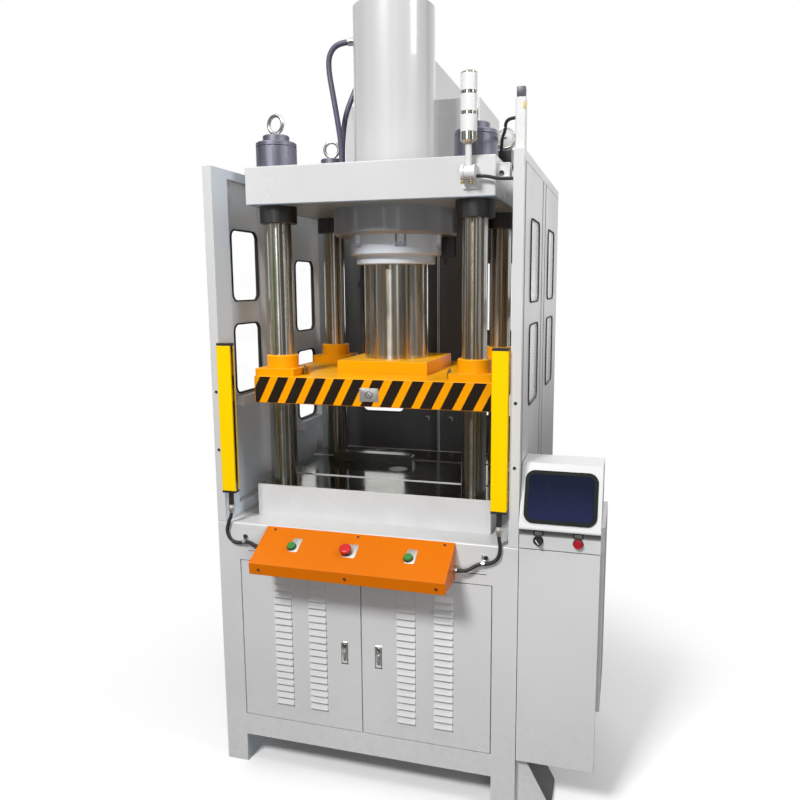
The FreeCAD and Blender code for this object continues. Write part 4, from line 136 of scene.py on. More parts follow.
class PressLight(bpy.types.PropertyGroup):
    """The plain studio round the press."""

    key: FloatProperty(
        name="Overhead light", description="Power of the large soft light above the front",
        subtype="POWER", default=520.0)
    side: FloatProperty(
        name="Side light", description="Power of the tall soft light on the right",
        subtype="POWER", default=85.0)
    fill: FloatProperty(
        name="Fill light", description="Power of the low soft light in front",
        subtype="POWER", default=48.0)
    rear: FloatProperty(
        name="Rear light", description="Power of the wide soft light behind",
        subtype="POWER", default=150.0)
    room: FloatProperty(
        name="Room light", description="Strength of the even light of the room", default=0.37)


class PressSettings(bpy.types.PropertyGroup):
    """All that a user would change on the dressed press."""

    colours: PointerProperty(type=PressColours, name="Colours", description="Part colours")
    sizes: PointerProperty(type=PressSizes, name="Sizes", description="Part sizes")
    light: PointerProperty(type=PressLight, name="Light", description="Studio light")


def settings():
    """The colours, sizes and lights that a user can change."""
    return bpy.context.scene.press


# ---------------------------------------------------------------- node helpers
def wire(tree, node, **inputs):
    """Gives a node its inputs: a socket is linked, and any other value is set."""
    for key, value in inputs.items():
        socket = node.inputs[int(key[1:])] if key[0] == "i" else node.inputs[key.replace("_", " ")]
        if isinstance(value, bpy.types.NodeSocket):
            tree.links.new(value, socket)
        else:
            socket.default_value = value


def add(tree, kind, options=None, **inputs):
    """Adds a node with its options and its inputs."""
    made = tree.nodes.new(kind)
    for key, value in (options or {}).items():
        setattr(made, key, value)
    wire(tree, made, **inputs)
    return made


def maths(tree, operation, a, b=0.0):
    return add(tree, "ShaderNodeMath", {"operation": operation}, i0=a, i1=b).outputs[0]


def times(tree, product, *factors):
    for factor in factors:
        product = maths(tree, "MULTIPLY", product, factor)
    return product


def mixed(tree, a, b, share):
    """A share of one value and the rest of another."""
    return maths(tree, "ADD", times(tree, a, share), times(tree, b, 1 - share))


def ramp(tree, value, low, high, out_low=0.0, out_high=1.0):
    """Spreads a value's range from low to high over another range."""
    return add(tree, "ShaderNodeMapRange", {"interpolation_type": "SMOOTHSTEP"},
               i0=value, i1=low, i2=high, i3=out_low, i4=out_high).outputs[0]


def noise(tree, coords, scale, detail=3.0, roughness=0.55):
    return add(tree, "ShaderNodeTexNoise", Vector=coords, Scale=scale, Detail=detail,
               Roughness=roughness).outputs["Fac"]


def blend(tree, factor, a, b):
    """Mixes two colours, each a socket or a plain colour."""
    a, b = (value if isinstance(value, bpy.types.NodeSocket) else (*value[:3], 1.0)
            for value in (a, b))
    return add(tree, "ShaderNodeMix", {"data_type": "RGBA"}, Factor=factor, i6=a, i7=b).outputs[2]


def stretched(tree, coords, scale):
    """Coordinates squeezed along an axis, for a grain that runs one way."""
    return add(tree, "ShaderNodeMapping", Vector=coords, Scale=scale).outputs[0]


def parts_of(tree, vector):
    """A vector's x, y and z."""
    made = add(tree, "ShaderNodeSeparateXYZ", i0=vector)
    return made.outputs[0], made.outputs[1], made.outputs[2]


def normal_parts(tree):
    """The x, y and z of the surface's normal in the piece's own frame."""
    surface = tree.nodes.new("ShaderNodeNewGeometry")
    local = add(tree, "ShaderNodeVectorTransform",
                {"vector_type": "NORMAL", "convert_from": "WORLD", "convert_to": "OBJECT"},
                Vector=surface.outputs["Normal"])
    return parts_of(tree, local.outputs["Vector"])


def new_finish(name):
    """A new material, its tree, its shader and the piece's own coordinates."""
    material = bpy.data.materials.new(name)
    material.use_nodes = True
    tree = material.node_tree
    shader = tree.nodes["Principled BSDF"]
    coords = tree.nodes.new("ShaderNodeTexCoord").outputs["Object"]
    return material, tree, shader, coords


def soft_edges(tree, radius):
    """Normals that round the sharp edges of sheet and plate."""
    return add(tree, "ShaderNodeBevel", {"samples": 4}, Radius=radius).outputs[0]


def edge_mask(tree, radius, low=0.03, high=0.25):
    """One on the outer and inner edges of a part, nothing on its faces."""
    flat = tree.nodes.new("ShaderNodeNewGeometry").outputs["Normal"]
    dot = add(tree, "ShaderNodeVectorMath", {"operation": "DOT_PRODUCT"},
              i0=soft_edges(tree, radius), i1=flat)
    return ramp(tree, maths(tree, "SUBTRACT", 1.0, dot.outputs["Value"]), low, high)


def bump(tree, height, strength, distance, normal=None):
    made = add(tree, "ShaderNodeBump", Height=height, Strength=strength, Distance=distance)
    if normal is not None:
        wire(tree, made, Normal=normal)
    return made.outputs[0]


def scaled(colour, factor):
    """A colour made darker or brighter."""
    return tuple(min(1.0, value * factor) for value in colour)


# ---------------------------------------------------------------- finishes
BARE_METAL = (0.30, 0.29, 0.28)         # where enamel is rubbed through
# bright edges of steel: rubbed metal with a painted highlight
RUBBED_EDGE_HIGHLIGHT = (0.8, 0.8, 0.8)


def paint(name, colour, roughness=0.34, grime=(0.20, 0.19, 0.17), wear=0.2, areas=(),
          specular=0.5, coat=0.12, coat_roughness=0.15, peel=0.06):
    """Sprayed enamel: orange peel, faint mottling, rubbed edges, floor grime, and the given areas'
    tones of painted light and shade.
    """
    material, tree, shader, coords = new_finish(name)
    x, y, z = parts_of(tree, coords)
    broad = noise(tree, coords, 2.3, 5.0)
    fine = noise(tree, coords, 38.0, 4.0, 0.7)
    specks = noise(tree, coords, 11.0, 8.0, 0.75)
    base = (*colour, 1.0)
    # the areas' tones are painted light and shade
    for mask, tone in areas:
        base = blend(tree, mask(tree, x, y, z), base, tone)
    mottled = add(tree, "ShaderNodeHueSaturation", Color=base,
                  Value=ramp(tree, broad, 0.35, 0.7, 1.0, 0.95)).outputs["Color"]
    low = times(tree, ramp(tree, z, 0.55, 0.0), ramp(tree, fine, 0.42, 0.75), 0.14)
    dirty = blend(tree, low, mottled, grime)
    spotted = blend(tree, times(tree, ramp(tree, specks, 0.62, 0.8), 0.02), dirty, grime)
    rubbed = times(tree, edge_mask(tree, 0.0025), ramp(tree, fine, 0.35, 0.62), wear)
    edges = soft_edges(tree, 0.0012) if wear else None
    wire(tree, shader,
         Base_Color=blend(tree, rubbed, spotted, BARE_METAL),
         Roughness=ramp(tree, mixed(tree, broad, fine, 0.85), 0.3, 0.7,
                        roughness - 0.03, roughness + 0.06),
         Normal=bump(tree, noise(tree, coords, 420.0, 2.0), peel, 0.0004, edges),
         Specular_IOR_Level=specular, Coat_Weight=coat, Coat_Roughness=coat_roughness)
    return material


def steel(name, colour, roughness, grain, oil):
    """Ground or turned steel with a grain, smudges of oil and bright edges, partly rubbed and
    partly a painted highlight.
    """
    material, tree, shader, coords = new_finish(name)
    grains = noise(tree, stretched(tree, coords, grain), 1.0, 4.0, 0.65)
    cloud = noise(tree, coords, 7.0, 6.0, 0.65)
    ground = blend(tree, ramp(tree, grains, 0.3, 0.7), scaled(colour, 0.86), scaled(colour, 1.08))
    smudge = (colour[0] * 0.55, colour[1] * 0.5, colour[2] * 0.4)
    oily = blend(tree, times(tree, ramp(tree, cloud, 0.48, 0.72), oil), ground, smudge)
    wire(tree, shader,
         Base_Color=blend(tree, times(tree, edge_mask(tree, 0.0015), 0.35), oily, RUBBED_EDGE_HIGHLIGHT),
         Roughness=ramp(tree, mixed(tree, grains, cloud, 0.5), 0.3, 0.7,
                        roughness - 0.05, roughness + 0.10),
         Normal=bump(tree, grains, 0.10, 0.0002, soft_edges(tree, 0.0008)), Metallic=1.0)
    return material


def moulding(name, colour, roughness=0.42, grain=600.0, strength=0.12, coat=0.0, rub=0.25,
             specular=0.5):
    """Moulded plastic or rubber: fine grain, a little dust and rubbed edges."""
    material, tree, shader, coords = new_finish(name)
    cloud = noise(tree, coords, 14.0, 5.0, 0.6)
    pale = tuple(min(1.0, value * 1.5 + 0.05) for value in colour)
    dusty = blend(tree, times(tree, ramp(tree, cloud, 0.5, 0.8), 0.12), colour, pale)
    wire(tree, shader,
         Base_Color=blend(tree, times(tree, edge_mask(tree, 0.0012), rub), dusty, pale),
         Roughness=ramp(tree, cloud, 0.3, 0.75, roughness - 0.05, roughness + 0.12),
         Normal=bump(tree, noise(tree, coords, grain, 2.0), strength, 0.0003,
                     soft_edges(tree, 0.0006)),
         Coat_Weight=coat, Coat_Roughness=0.12, Specular_IOR_Level=specular)
    return material


OIL_AND_SHADE_LINE = (1.33, 1.28)         # heights in metres over which the chrome turns darker downwards: painted shade, with some oil below the slide


def chrome_finish():
    """Hard chrome with upright brown and olive streaks, partly oil and partly painted reflection,
    and painted shade low down.
    """
    material, tree, shader, coords = new_finish("hard_chrome")
    streaks = noise(tree, stretched(tree, coords, (26.0, 26.0, 0.5)), 1.0, 3.0, 0.6)
    thin = noise(tree, stretched(tree, coords, (140.0, 140.0, 1.2)), 1.0, 2.0, 0.5)
    cloud = noise(tree, coords, 9.0, 6.0, 0.65)
    # upright brown and olive streaks: partly oil, partly painted reflection of the surroundings
    brown = blend(tree, ramp(tree, streaks, 0.46, 0.62), (0.66, 0.655, 0.62), (0.40, 0.33, 0.24))
    olive = blend(tree, ramp(tree, streaks, 0.42, 0.30), brown, (0.42, 0.43, 0.24))
    lined = blend(tree, times(tree, ramp(tree, thin, 0.5, 0.72), 0.45), olive, (0.20, 0.17, 0.15))
    # painted shade, with some oil film: the chrome darkens below the slide
    film = times(tree, ramp(tree, parts_of(tree, coords)[2], *OIL_AND_SHADE_LINE), 0.6)
    oily = blend(tree, film, lined, (0.12, 0.115, 0.085))
    wire(tree, shader,
         # bright edges: a painted highlight
         Base_Color=blend(tree, times(tree, edge_mask(tree, 0.002), 0.4), oily,
                          (0.85, 0.85, 0.85)),
         Roughness=ramp(tree, mixed(tree, thin, cloud, 0.5), 0.35, 0.7, 0.16, 0.26),
         Normal=bump(tree, thin, 0.05, 0.0002, soft_edges(tree, 0.001)),
         Tangent=add(tree, "ShaderNodeCombineXYZ", Z=1.0).outputs[0],
         Anisotropic=0.95, Metallic=1.0)
    return material


def bolster_finish():
    """Ground steel on top, oily and mirror-like, with painted sides."""
    material, tree, shader, coords = new_finish("bolster_steel")
    top = ramp(tree, normal_parts(tree)[2], *TOWARDS)
    grains = noise(tree, stretched(tree, coords, (4.0, 300.0, 4.0)), 1.0, 4.0, 0.6)
    cloud = noise(tree, coords, 5.0, 6.0, 0.7)
    fine = noise(tree, coords, 60.0, 3.0, 0.6)
    patches = ramp(tree, cloud, 0.4, 0.7)
    oily = blend(tree, patches, (0.13, 0.14, 0.11), (0.25, 0.25, 0.21))
    ground = blend(tree, ramp(tree, grains, 0.4, 0.8), oily, (0.32, 0.32, 0.29))
    enamel = settings().colours.paint
    side = blend(tree, patches, scaled(enamel, 0.92), enamel)
    rubbed = times(tree, edge_mask(tree, 0.003), ramp(tree, fine, 0.35, 0.6), 0.6)
    worn = blend(tree, rubbed, side, (0.25, 0.25, 0.24))
    polish = ramp(tree, mixed(tree, cloud, grains, 0.7), 0.35, 0.7, 0.07, 0.2)
    wire(tree, shader,
         Base_Color=blend(tree, top, worn, ground), Metallic=top,
         Roughness=add(tree, "ShaderNodeMix", {"data_type": "FLOAT"}, i0=top, i2=0.32,
                       i3=polish).outputs[0],
         Normal=bump(tree, grains, 0.06, 0.0002, soft_edges(tree, 0.0005)))
    return material


def screen_glass():
    """Dark navy display behind glass, with painted shade that darkens it towards its top."""
    material, tree, shader, coords = new_finish("screen_glass")
    cloud = noise(tree, coords, 6.0, 3.0)
    height = ramp(tree, parts_of(tree, coords)[2], 1.0, 1.13)
    # painted shade: the navy grows darker towards the screen's top
    navy_painted_shade = blend(tree, height, (0.012, 0.016, 0.050), (0.006, 0.008, 0.022))
    wire(tree, shader,
         Base_Color=blend(tree, times(tree, cloud, 0.3), navy_painted_shade, (0.015, 0.019, 0.044)),
         Roughness=ramp(tree, noise(tree, coords, 30.0, 5.0), 0.4, 0.8, 0.12, 0.3),
         Specular_IOR_Level=0.08)
    return material


def clear_glass():
    """Clear pane: clear when seen straight through; seen aslant, shiny and pale with a painted
    sheen.
    """
    material, tree, shader, coords = new_finish("clear_pane")
    cloud = noise(tree, coords, 9.0, 5.0)
    aslant = add(tree, "ShaderNodeLayerWeight", Blend=0.35).outputs["Facing"]
    # painted sheen: pale and less clear at a slant, standing in for reflection
    painted_sheen = times(tree, ramp(tree, aslant, 0.5, 0.95), 0.7)
    film = ramp(tree, cloud, 0.4, 0.8, 0.0, 0.03)
    wire(tree, shader, Base_Color=(0.93, 0.94, 0.94, 1.0),
         Alpha=maths(tree, "ADD", painted_sheen, film),
         Roughness=ramp(tree, cloud, 0.4, 0.8, 0.02, 0.08), IOR=1.5)
    return material


# Bands over which a tone sets in, mostly painted light and shade: parts of a surface's normal, and
# places in metres
TOWARDS, AWAY = (0.6, 0.9), (-0.3, -0.6)
PAST_BASE = (0.4000, 0.4015)
BELOW_CROWN = (1.986, 1.984)
OUTRIGGER_TOP = (0.21, 0.19)
CABINET_FOOT = ((0.25, 0.30), (0.42, 0.40))
HEAD_FRONT = (-0.4715, -0.4705)
HEAD_SHADE = ((0.944, 0.950), (0.9675, 0.9665))


def facing_in_shade(tree, x, y, z):
    """The faces that look at the press's front, where the rear doors' painted shade goes."""
    return ramp(tree, normal_parts(tree)[1], *AWAY)


# Downward faces, for the painted cool shade under the crown and the oil tank
def facing_down_shade(tree, x, y, z):
    return ramp(tree, normal_parts(tree)[2], *AWAY)


# Upward faces, for the painted light on the slide's top
def facing_up_light(tree, x, y, z):
    return ramp(tree, normal_parts(tree)[2], *TOWARDS)


def inward_light(tree, x, y, z):
    """The faces on either side that look at the press's middle, where painted light makes them
    lighter and cooler.
    """
    return ramp(tree, times(tree, normal_parts(tree)[0], x), -0.10, -0.25)


# Below the crown, where the cylinder's flange gets painted shade
def below_crown_shade(tree, x, y, z):
    return ramp(tree, z, *BELOW_CROWN)


def outrigger(tree, x, y, z):
    """The foot beside the base, but for its front, where its painted shadow goes."""
    return times(tree, ramp(tree, x, *PAST_BASE), ramp(tree, z, *OUTRIGGER_TOP),
                 ramp(tree, normal_parts(tree)[1], -0.9, -0.6))


def under_cabinet_light(tree, x, y, z):
    """The cabinet's underside, but for the outrigger foot below it, where light is painted on."""
    low, high = CABINET_FOOT
    return times(tree, ramp(tree, x, *PAST_BASE), ramp(tree, z, *high), ramp(tree, z, *low),
                 ramp(tree, normal_parts(tree)[2], -0.1, -0.5))


def under_head_shadow(tree, x, y, z):
    """The strip of the screen head's front under its screen, where the overhang's shadow is
    painted.
    """
    low, high = HEAD_SHADE
    return times(tree, ramp(tree, normal_parts(tree)[1], -0.8, -0.95), ramp(tree, y, *HEAD_FRONT),
                 ramp(tree, z, *low), ramp(tree, z, *high))


FINISHES = {}


def make_finishes():
    """All the press's finishes, by name."""
    colours = settings().colours
    FINISHES.update(
        paint=paint("frame_enamel", colours.paint,
                    # painted light: the faces that look inwards are a lighter, cooler grey
                    # painted shadow: the outrigger foot's side under the cabinet is near black
                    areas=((inward_light, (0.74, 0.82, 0.89)), (outrigger, (0.10, 0.10, 0.10)),
                           # painted light: the cabinet's underside is white, standing in for light
                           # bounced up from the floor
                           (under_cabinet_light, (1.0, 1.0, 1.0)))),
        # painted shadow: the strip under the screen's overhang is dark grey
        head=paint("head_enamel", colours.paint, areas=((under_head_shadow, (0.16, 0.16, 0.16)),)),
        plate=paint("plate_enamel", colours.paint, 0.28, peel=0.02,
                    # painted shade: the downward faces of the crown and the oil tank are a cooler
                    # grey
                    areas=((facing_down_shade, (0.38, 0.51, 0.66)),)),
        white=paint("gland_enamel", (0.62, 0.67, 0.73), 0.25, wear=0.0, peel=0.01),
        gloss=paint("cylinder_enamel", scaled(colours.paint, 0.9), 0.3, wear=0.0, coat=0.7,
                    coat_roughness=0.04, peel=0.01,
                    # painted shade: the flange under the crown is dark grey
                    areas=((below_crown_shade, (0.26, 0.27, 0.29)),)),
        rear=paint("rear_door_enamel", colours.paint, wear=0.0,
                   # painted shade: the rear doors' inner faces are darkened to the grey of their
                   # shadow
                   areas=((facing_in_shade, colours.inner_shade),)),
        slide=paint("slide_amber", colours.slide, 0.32, (0.25, 0.10, 0.02), 0.3,
                    # painted light: the slide's upward faces are a brighter orange
                    ((facing_up_light, (1.0, 0.46, 0.0)),), specular=0.2, coat=0.0),
        box=paint("control_box_orange", colours.box, 0.3, (0.3, 0.08, 0.02), 0.25,
                  specular=0.2, coat=0.0),
        curtain=paint("curtain_yellow", colours.curtain, 0.34, (0.3, 0.2, 0.02),
                      specular=0.15, coat=0.0),
        motor=paint("motor_grey", (0.10, 0.14, 0.17), 0.4),
        chrome=chrome_finish(),
        bolster=bolster_finish(),
        brass=steel("screw_brass", (0.32, 0.24, 0.10), 0.35, (400.0, 6.0, 6.0), 0.4),
        ground=steel("ground_steel", (0.17, 0.175, 0.16), 0.24, (5.0, 220.0, 5.0), 0.45),
        oxide=steel("blue_oxide", colours.nut, 0.42, (60.0, 60.0, 4.0), 0.2),
        dark=steel("dark_steel", (0.10, 0.10, 0.10), 0.36, (60.0, 60.0, 8.0), 0.2),
        latch=steel("latch_zinc", (0.66, 0.66, 0.65), 0.55, (70.0, 70.0, 70.0), 0.2),
        zinc=steel("zinc_plate", (0.62, 0.63, 0.62), 0.28, (70.0, 70.0, 70.0), 0.15),
        legend=steel("legend_plate", (0.66, 0.65, 0.62), 0.5, (300.0, 8.0, 8.0), 0.1),
        cap=moulding("mast_cap", (0.085, 0.08, 0.09), 0.4),
        rubber=moulding("black_rubber", (0.018, 0.018, 0.017), 0.62, 500.0, 0.2),
        hose=moulding("hose_rubber", (0.085, 0.082, 0.125), 0.38, 320.0, 0.25),
        plastic=moulding("black_plastic", (0.022, 0.022, 0.022), 0.38),
        white_plastic=moulding("white_plastic", (0.66, 0.66, 0.655), 0.35, coat=0.1),
        sealant=moulding("seam_sealant", (0.20, 0.20, 0.20), 0.6),
        tape=moulding("black_tape", (0.016, 0.011, 0.007), 0.55, 900.0, specular=0.1, rub=0.1),
        lens=moulding("curtain_lens", (0.012, 0.010, 0.012), 0.12, coat=0.5),
        green=moulding("green_cap", (0.03, 0.20, 0.035), 0.35, coat=0.1),
        red=moulding("red_cap", (0.50, 0.009, 0.007), 0.35, coat=0.15),
        crimson=moulding("crimson_cap", (0.36, 0.008, 0.02), 0.28, coat=0.3),
        bezel=moulding("bezel_plastic", (0.006, 0.008, 0.005), 0.45, specular=0.12, rub=0.08),
        lamp=moulding("frosted_lens", (0.72, 0.725, 0.72), 0.25, 80.0, 0.1, coat=0.4),
        screen=screen_glass(),
        glass=clear_glass(),
    )


# Which of the press's own parts have each finish
CAD_FINISHES = {
    "paint": ("base_frame", "left_guard", "right_guard", "rear_rails", "left_door",
              "right_door", "cabinet_body", "cabinet_door", "deck_plate"),
    "head": ("hmi_head",),
    "plate": ("crown", "oil_tank"),
    "white": ("gland_flange", "gland_bolts"),
    "bolster": ("bolster",),
    "gloss": ("cylinder_barrel",),
    "rear": ("rear_left_door", "rear_right_door"),
    "slide": ("slide", "ram_plate", "guide_bushes"),
    "box": ("control_box",),
    "curtain": ("curtain_housings",),
    "chrome": ("columns", "ram", "lamp_trim"),
    "ground": ("rear_stop",),
    "oxide": ("column_nuts",),
    "dark": ("column_collars", "hydraulic_blocks", "stroke_rod"),
    "zinc": ("eyebolts", "hose_fittings", "left_latch", "right_latch", "cable_fixings",
             "pressure_gauge"),
    "white_plastic": ("lamp_foot", "lamp_pole", "mast"),
    "rubber": ("curtain_cables", "signal_wires"),
    "hose": ("long_hose", "short_hose"),
    "plastic": ("curtain_caps", "button_bezels", "mode_selector"),
    "tape": ("hazard_stripes",),
    "lens": ("curtain_lenses",),
    "green": ("left_button", "right_button"),
    "red": ("emergency_stop",),
    "crimson": ("red_button",),
    "bezel": ("hmi_bezel",),
    "screen": ("hmi_screen",),
    "motor": ("pump_set",),
    "lamp": ("lamp_lenses",),
}


# ---------------------------------------------------------------- mesh helpers
def start_afresh():
    """Back to object mode with nothing selected."""
    if bpy.context.object is not None and bpy.context.object.mode != "OBJECT":
        leave_edit()
    bpy.ops.object.select_all(action="DESELECT")


def leave_edit():
    bpy.ops.object.mode_set(mode="OBJECT")


def take(piece):
    """Makes a piece the only one selected, in object mode."""
    start_afresh()
    bpy.context.view_layer.objects.active = piece
    piece.select_set(True)


def named(name):
    """The primitive just added, under its name and with its place in its mesh."""
    piece = bpy.context.object
    piece.name = name
    take(piece)
    bpy.ops.object.transform_apply(location=True, rotation=True, scale=True)
    return piece


def start_block(name, low, high):
    """A block between two corners, to be shaped further."""
    start_afresh()
    low, high = Vector(low), Vector(high)
    bpy.ops.mesh.primitive_cube_add(size=1, location=(low + high) / 2, scale=high - low)
    return named(name)


def start_round(name, foot, radius, height, sides=24):
    """An upright round bar from its foot's height, to be shaped further."""
    start_afresh()
    bpy.ops.mesh.primitive_cylinder_add(vertices=sides, radius=radius, depth=height,
                                        location=(0, 0, foot + height / 2))
    return named(name)


def start_sheet(name, wide, high, corner, segments, tilt=0):
    """A flat sheet round the origin with round corners, tilted about X in degrees."""
    start_afresh()
    bpy.ops.mesh.primitive_plane_add(size=1, rotation=(math.radians(tilt), 0, 0))
    bpy.context.object.scale = (wide, high, 1)
    piece = named(name)
    pick(piece, "VERT")
    bpy.ops.mesh.bevel(offset=corner, segments=segments, affect="VERTICES")
    return piece


def pick(piece, kind, test=None):
    """Goes into edit mode and selects the faces or points that pass a test, or all."""
    if piece.mode != "EDIT":
        take(piece)
        bpy.ops.object.mode_set(mode="EDIT")
    bpy.ops.mesh.select_mode(type=kind)
    bpy.ops.mesh.select_all(action="DESELECT")
    mesh = bmesh.from_edit_mesh(piece.data)
    mesh.normal_update()
    for part in {"FACE": mesh.faces, "VERT": mesh.verts}[kind]:
        if test is None or test(part):
            part.select_set(True)
    mesh.select_flush_mode()
    bmesh.update_edit_mesh(piece.data)


def pick_top(piece):
    pick(piece, "FACE", lambda face: face.normal.z > 0.9)


def extrude(x, y, z):
    bpy.ops.mesh.extrude_region_move(TRANSFORM_OT_translate={"value": (x, y, z)})


def shift(x, y, z):
    bpy.ops.transform.translate(value=(x, y, z))


def face_outwards(piece):
    pick(piece, "FACE")
    bpy.ops.mesh.normals_make_consistent(inside=False)


def round_edges(piece, radius, segments=2, angle=35):
    """Bevels every edge sharper than an angle, with a modifier that is applied."""
    take(piece)
    made = piece.modifiers.new("Rounding", "BEVEL")
    made.width = radius
    made.segments = segments
    made.limit_method = "ANGLE"
    made.angle_limit = math.radians(angle)
    bpy.ops.object.modifier_apply(modifier=made.name)


def finish(piece, finish_name, body=FRAME_BODY, angle=35):
    """Smooths a made piece, gives it its finish and lets it ride."""
    take(piece)
    bpy.ops.object.shade_smooth_by_angle(angle=math.radians(angle))
    piece.data.materials.clear()
    piece.data.materials.append(FINISHES[finish_name])
    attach(piece, body)
    return piece


def put(piece, place, finish_name, body=FRAME_BODY):
    """Moves a part's mesh to its place on the press and finishes it."""
    piece.data.transform(place)
    return finish(piece, finish_name, body)


def copies(piece, names):
    """A piece under the first name, and a copy with a mesh of its own under each other."""
    made = [piece]
    piece.name = names[0]
    for name in names[1:]:
        copy = piece.copy()
        copy.data = piece.data.copy()
        copy.name = name
        bpy.context.scene.collection.objects.link(copy)
        made.append(copy)
    return made


def joined(pieces, name):
    """Several bits as one piece."""
    take(pieces[0])
    for piece in pieces[1:]:
        piece.select_set(True)
    bpy.ops.object.join()
    pieces[0].name = name
    return pieces[0]


def turned(degrees):
    return Matrix.Rotation(math.radians(degrees), 4, "Z")


def standing_at(x, y, z):
    """Where a part drawn upright goes on the press."""
    return Matrix.Translation(at(x, y, z))


def on_face(x, y, z, up=(0, 0, 1)):
    """Where a part drawn flat, its top outwards, goes on a face that looks forwards."""
    right, up = Vector((1, 0, 0)), Vector(up).normalized()
    turn = Matrix((right, up, right.cross(up))).transposed().to_4x4()
    return Matrix.Translation(at(x, y, z)) @ turn


def flat_plate(name, wide, high, thick, corner, edge=0.0004):
    """A thin plate with round corners, lying on z = 0."""
    piece = start_sheet(name, wide, high, corner, 6)
    pick(piece, "FACE")
    extrude(0, 0, thick)
    face_outwards(piece)
    round_edges(piece, edge, 2, 50)
    return piece


def framed_plate(name, wide, high, thick, corner, rim):
    """A plate with a raised rim round a sunk face."""
    piece = flat_plate(name, wide, high, thick, corner, 0.0003)
    pick(piece, "FACE", lambda f: f.normal.z > 0.9 and f.calc_area() > wide * high * 0.4)
    bpy.ops.mesh.inset(thickness=rim)
    shift(0, 0, -thick * 0.6)
    leave_edit()
    return piece


NARROW_RIM, WIDE_RIM = 0.30, 0.36       # shares of a screw's radius round its recess


def screw(name, radius, height, rim=NARROW_RIM):
    """A small screw head on z = 0, with a raised middle and a round recess sunk in it."""
    piece = start_round(name, 0, radius, height, settings().sizes.screw_sides)
    pick_top(piece)
    bpy.ops.mesh.inset(thickness=radius * 0.22)
    shift(0, 0, height * 0.15)
    bpy.ops.mesh.inset(thickness=radius * rim)
    extrude(0, 0, -height * 0.55)
    round_edges(piece, radius * 0.06, 2, 50)
    return piece


# ---------------------------------------------------------------- cords
def laid_tube(name, route, radius, finish_name):
    """A hose or cable on one smooth line that its route's points lead."""
    start_afresh()
    curve = bpy.data.curves.new(name, "CURVE")
    curve.dimensions = "3D"
    spline = curve.splines.new("NURBS")
    spline.points.add(len(route) - 1)
    for point, place in zip(spline.points, route):
        point.co = (*at(*place), 1.0)
    spline.order_u = 3
    spline.use_endpoint_u = True
    curve.resolution_u = 10
    curve.bevel_depth = radius
    curve.bevel_resolution = 6
    curve.use_fill_caps = True
    piece = bpy.data.objects.new(name, curve)
    bpy.context.scene.collection.objects.link(piece)
    take(piece)
    bpy.ops.object.convert(target="MESH")
    return finish(bpy.context.object, finish_name, angle=50)


# Each cord's route: the points that lead it, in millimetres, from end to end
LONG_HOSE = (
    (-172.0, 0.0, 2582.0), (-214.0, 0.0, 2582.0), (-248.0, 0.0, 2548.0),
    (-252.0, 2.0, 2492.0), (-234.0, 0.0, 2396.0), (-217.0, -2.0, 2300.0),
    (-206.0, 0.0, 2216.0), (-206.0, 0.0, 2136.0),
)
SHORT_HOSE = (
    (-150.0, 250.0, 2437.0), (-150.0, 250.0, 2494.0), (-154.0, 208.0, 2540.0),
    (-160.0, 146.0, 2540.0), (-164.0, 102.0, 2492.0), (-180.0, 78.0, 2432.0),
    (-214.0, 68.0, 2352.0), (-227.0, 66.0, 2264.0), (-229.0, 66.0, 2196.0),
    (-229.0, 66.0, 2136.0),
)
LEFT_CABLE = (
    (-466.0, -441.0, 969.0), (-466.0, -441.0, 936.0), (-482.0, -441.0, 902.0),
    (-490.0, -441.0, 866.0), (-473.0, -441.0, 836.0), (-440.0, -441.0, 831.0),
    (-404.0, -441.0, 840.0), (-374.0, -457.0, 832.0), (-346.0, -457.0, 832.0),
)
RIGHT_CABLE = (
    (466.0, -441.0, 969.0), (466.0, -441.0, 934.0), (473.0, -441.0, 896.0),
    (465.0, -441.0, 861.0), (436.0, -441.0, 843.0), (400.0, -441.0, 840.0),
    (369.0, -458.0, 818.0), (338.0, -458.0, 818.0),
)
LAMP_WIRE = (
    (370.3, -354.0, 2044.0), (400.0, -354.0, 2044.0), (434.0, -358.0, 2034.0),
    (468.0, -360.0, 2032.0), (495.0, -360.0, 2032.0),
)
MAST_WIRE = (
    (496.0, -402.0, 2197.0), (480.0, -402.0, 2197.0), (463.0, -385.0, 2191.0),
    (449.9, -311.9, 2181.0), (429.0, -239.6, 2173.0), (418.0, -181.9, 2158.0),
    (410.0, -155.7, 2131.0), (410.0, -140.0, 2131.0),
)


class PRESS_OT_cords(bpy.types.Operator):
    """Lays the hoses, the curtain cables and the wires"""

    bl_idname = "press.cords"
    bl_label = "Hoses and cables"

    def execute(self, context):
        sizes = settings().sizes
        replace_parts(laid_tube("long_hose_line", LONG_HOSE, sizes.hose, "hose"), "long_hose")
        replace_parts(laid_tube("short_hose_line", SHORT_HOSE, sizes.hose, "hose"), "short_hose")
        for name, route in (("left_curtain_cable", LEFT_CABLE),
                            ("right_curtain_cable", RIGHT_CABLE)):
            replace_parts(laid_tube(name, route, sizes.cable, "rubber"), "curtain_cables")
        for name, route in (("lamp_wire", LAMP_WIRE), ("mast_wire", MAST_WIRE)):
            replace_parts(laid_tube(name, route, sizes.wire, "rubber"), "signal_wires")
        return {"FINISHED"}


# The camera: its place in metres, its turns in degrees, its lens in millimetres
CAMERA_PLACE = (0.7011, -2.6916, 1.7157)
YAW, PITCH, ROLL = 16.0, 8.5, 0.3
SENSOR_WIDTH, LENS = 36.0, 33.37
SHIFT_X, SHIFT_Y = -0.018, -0.005


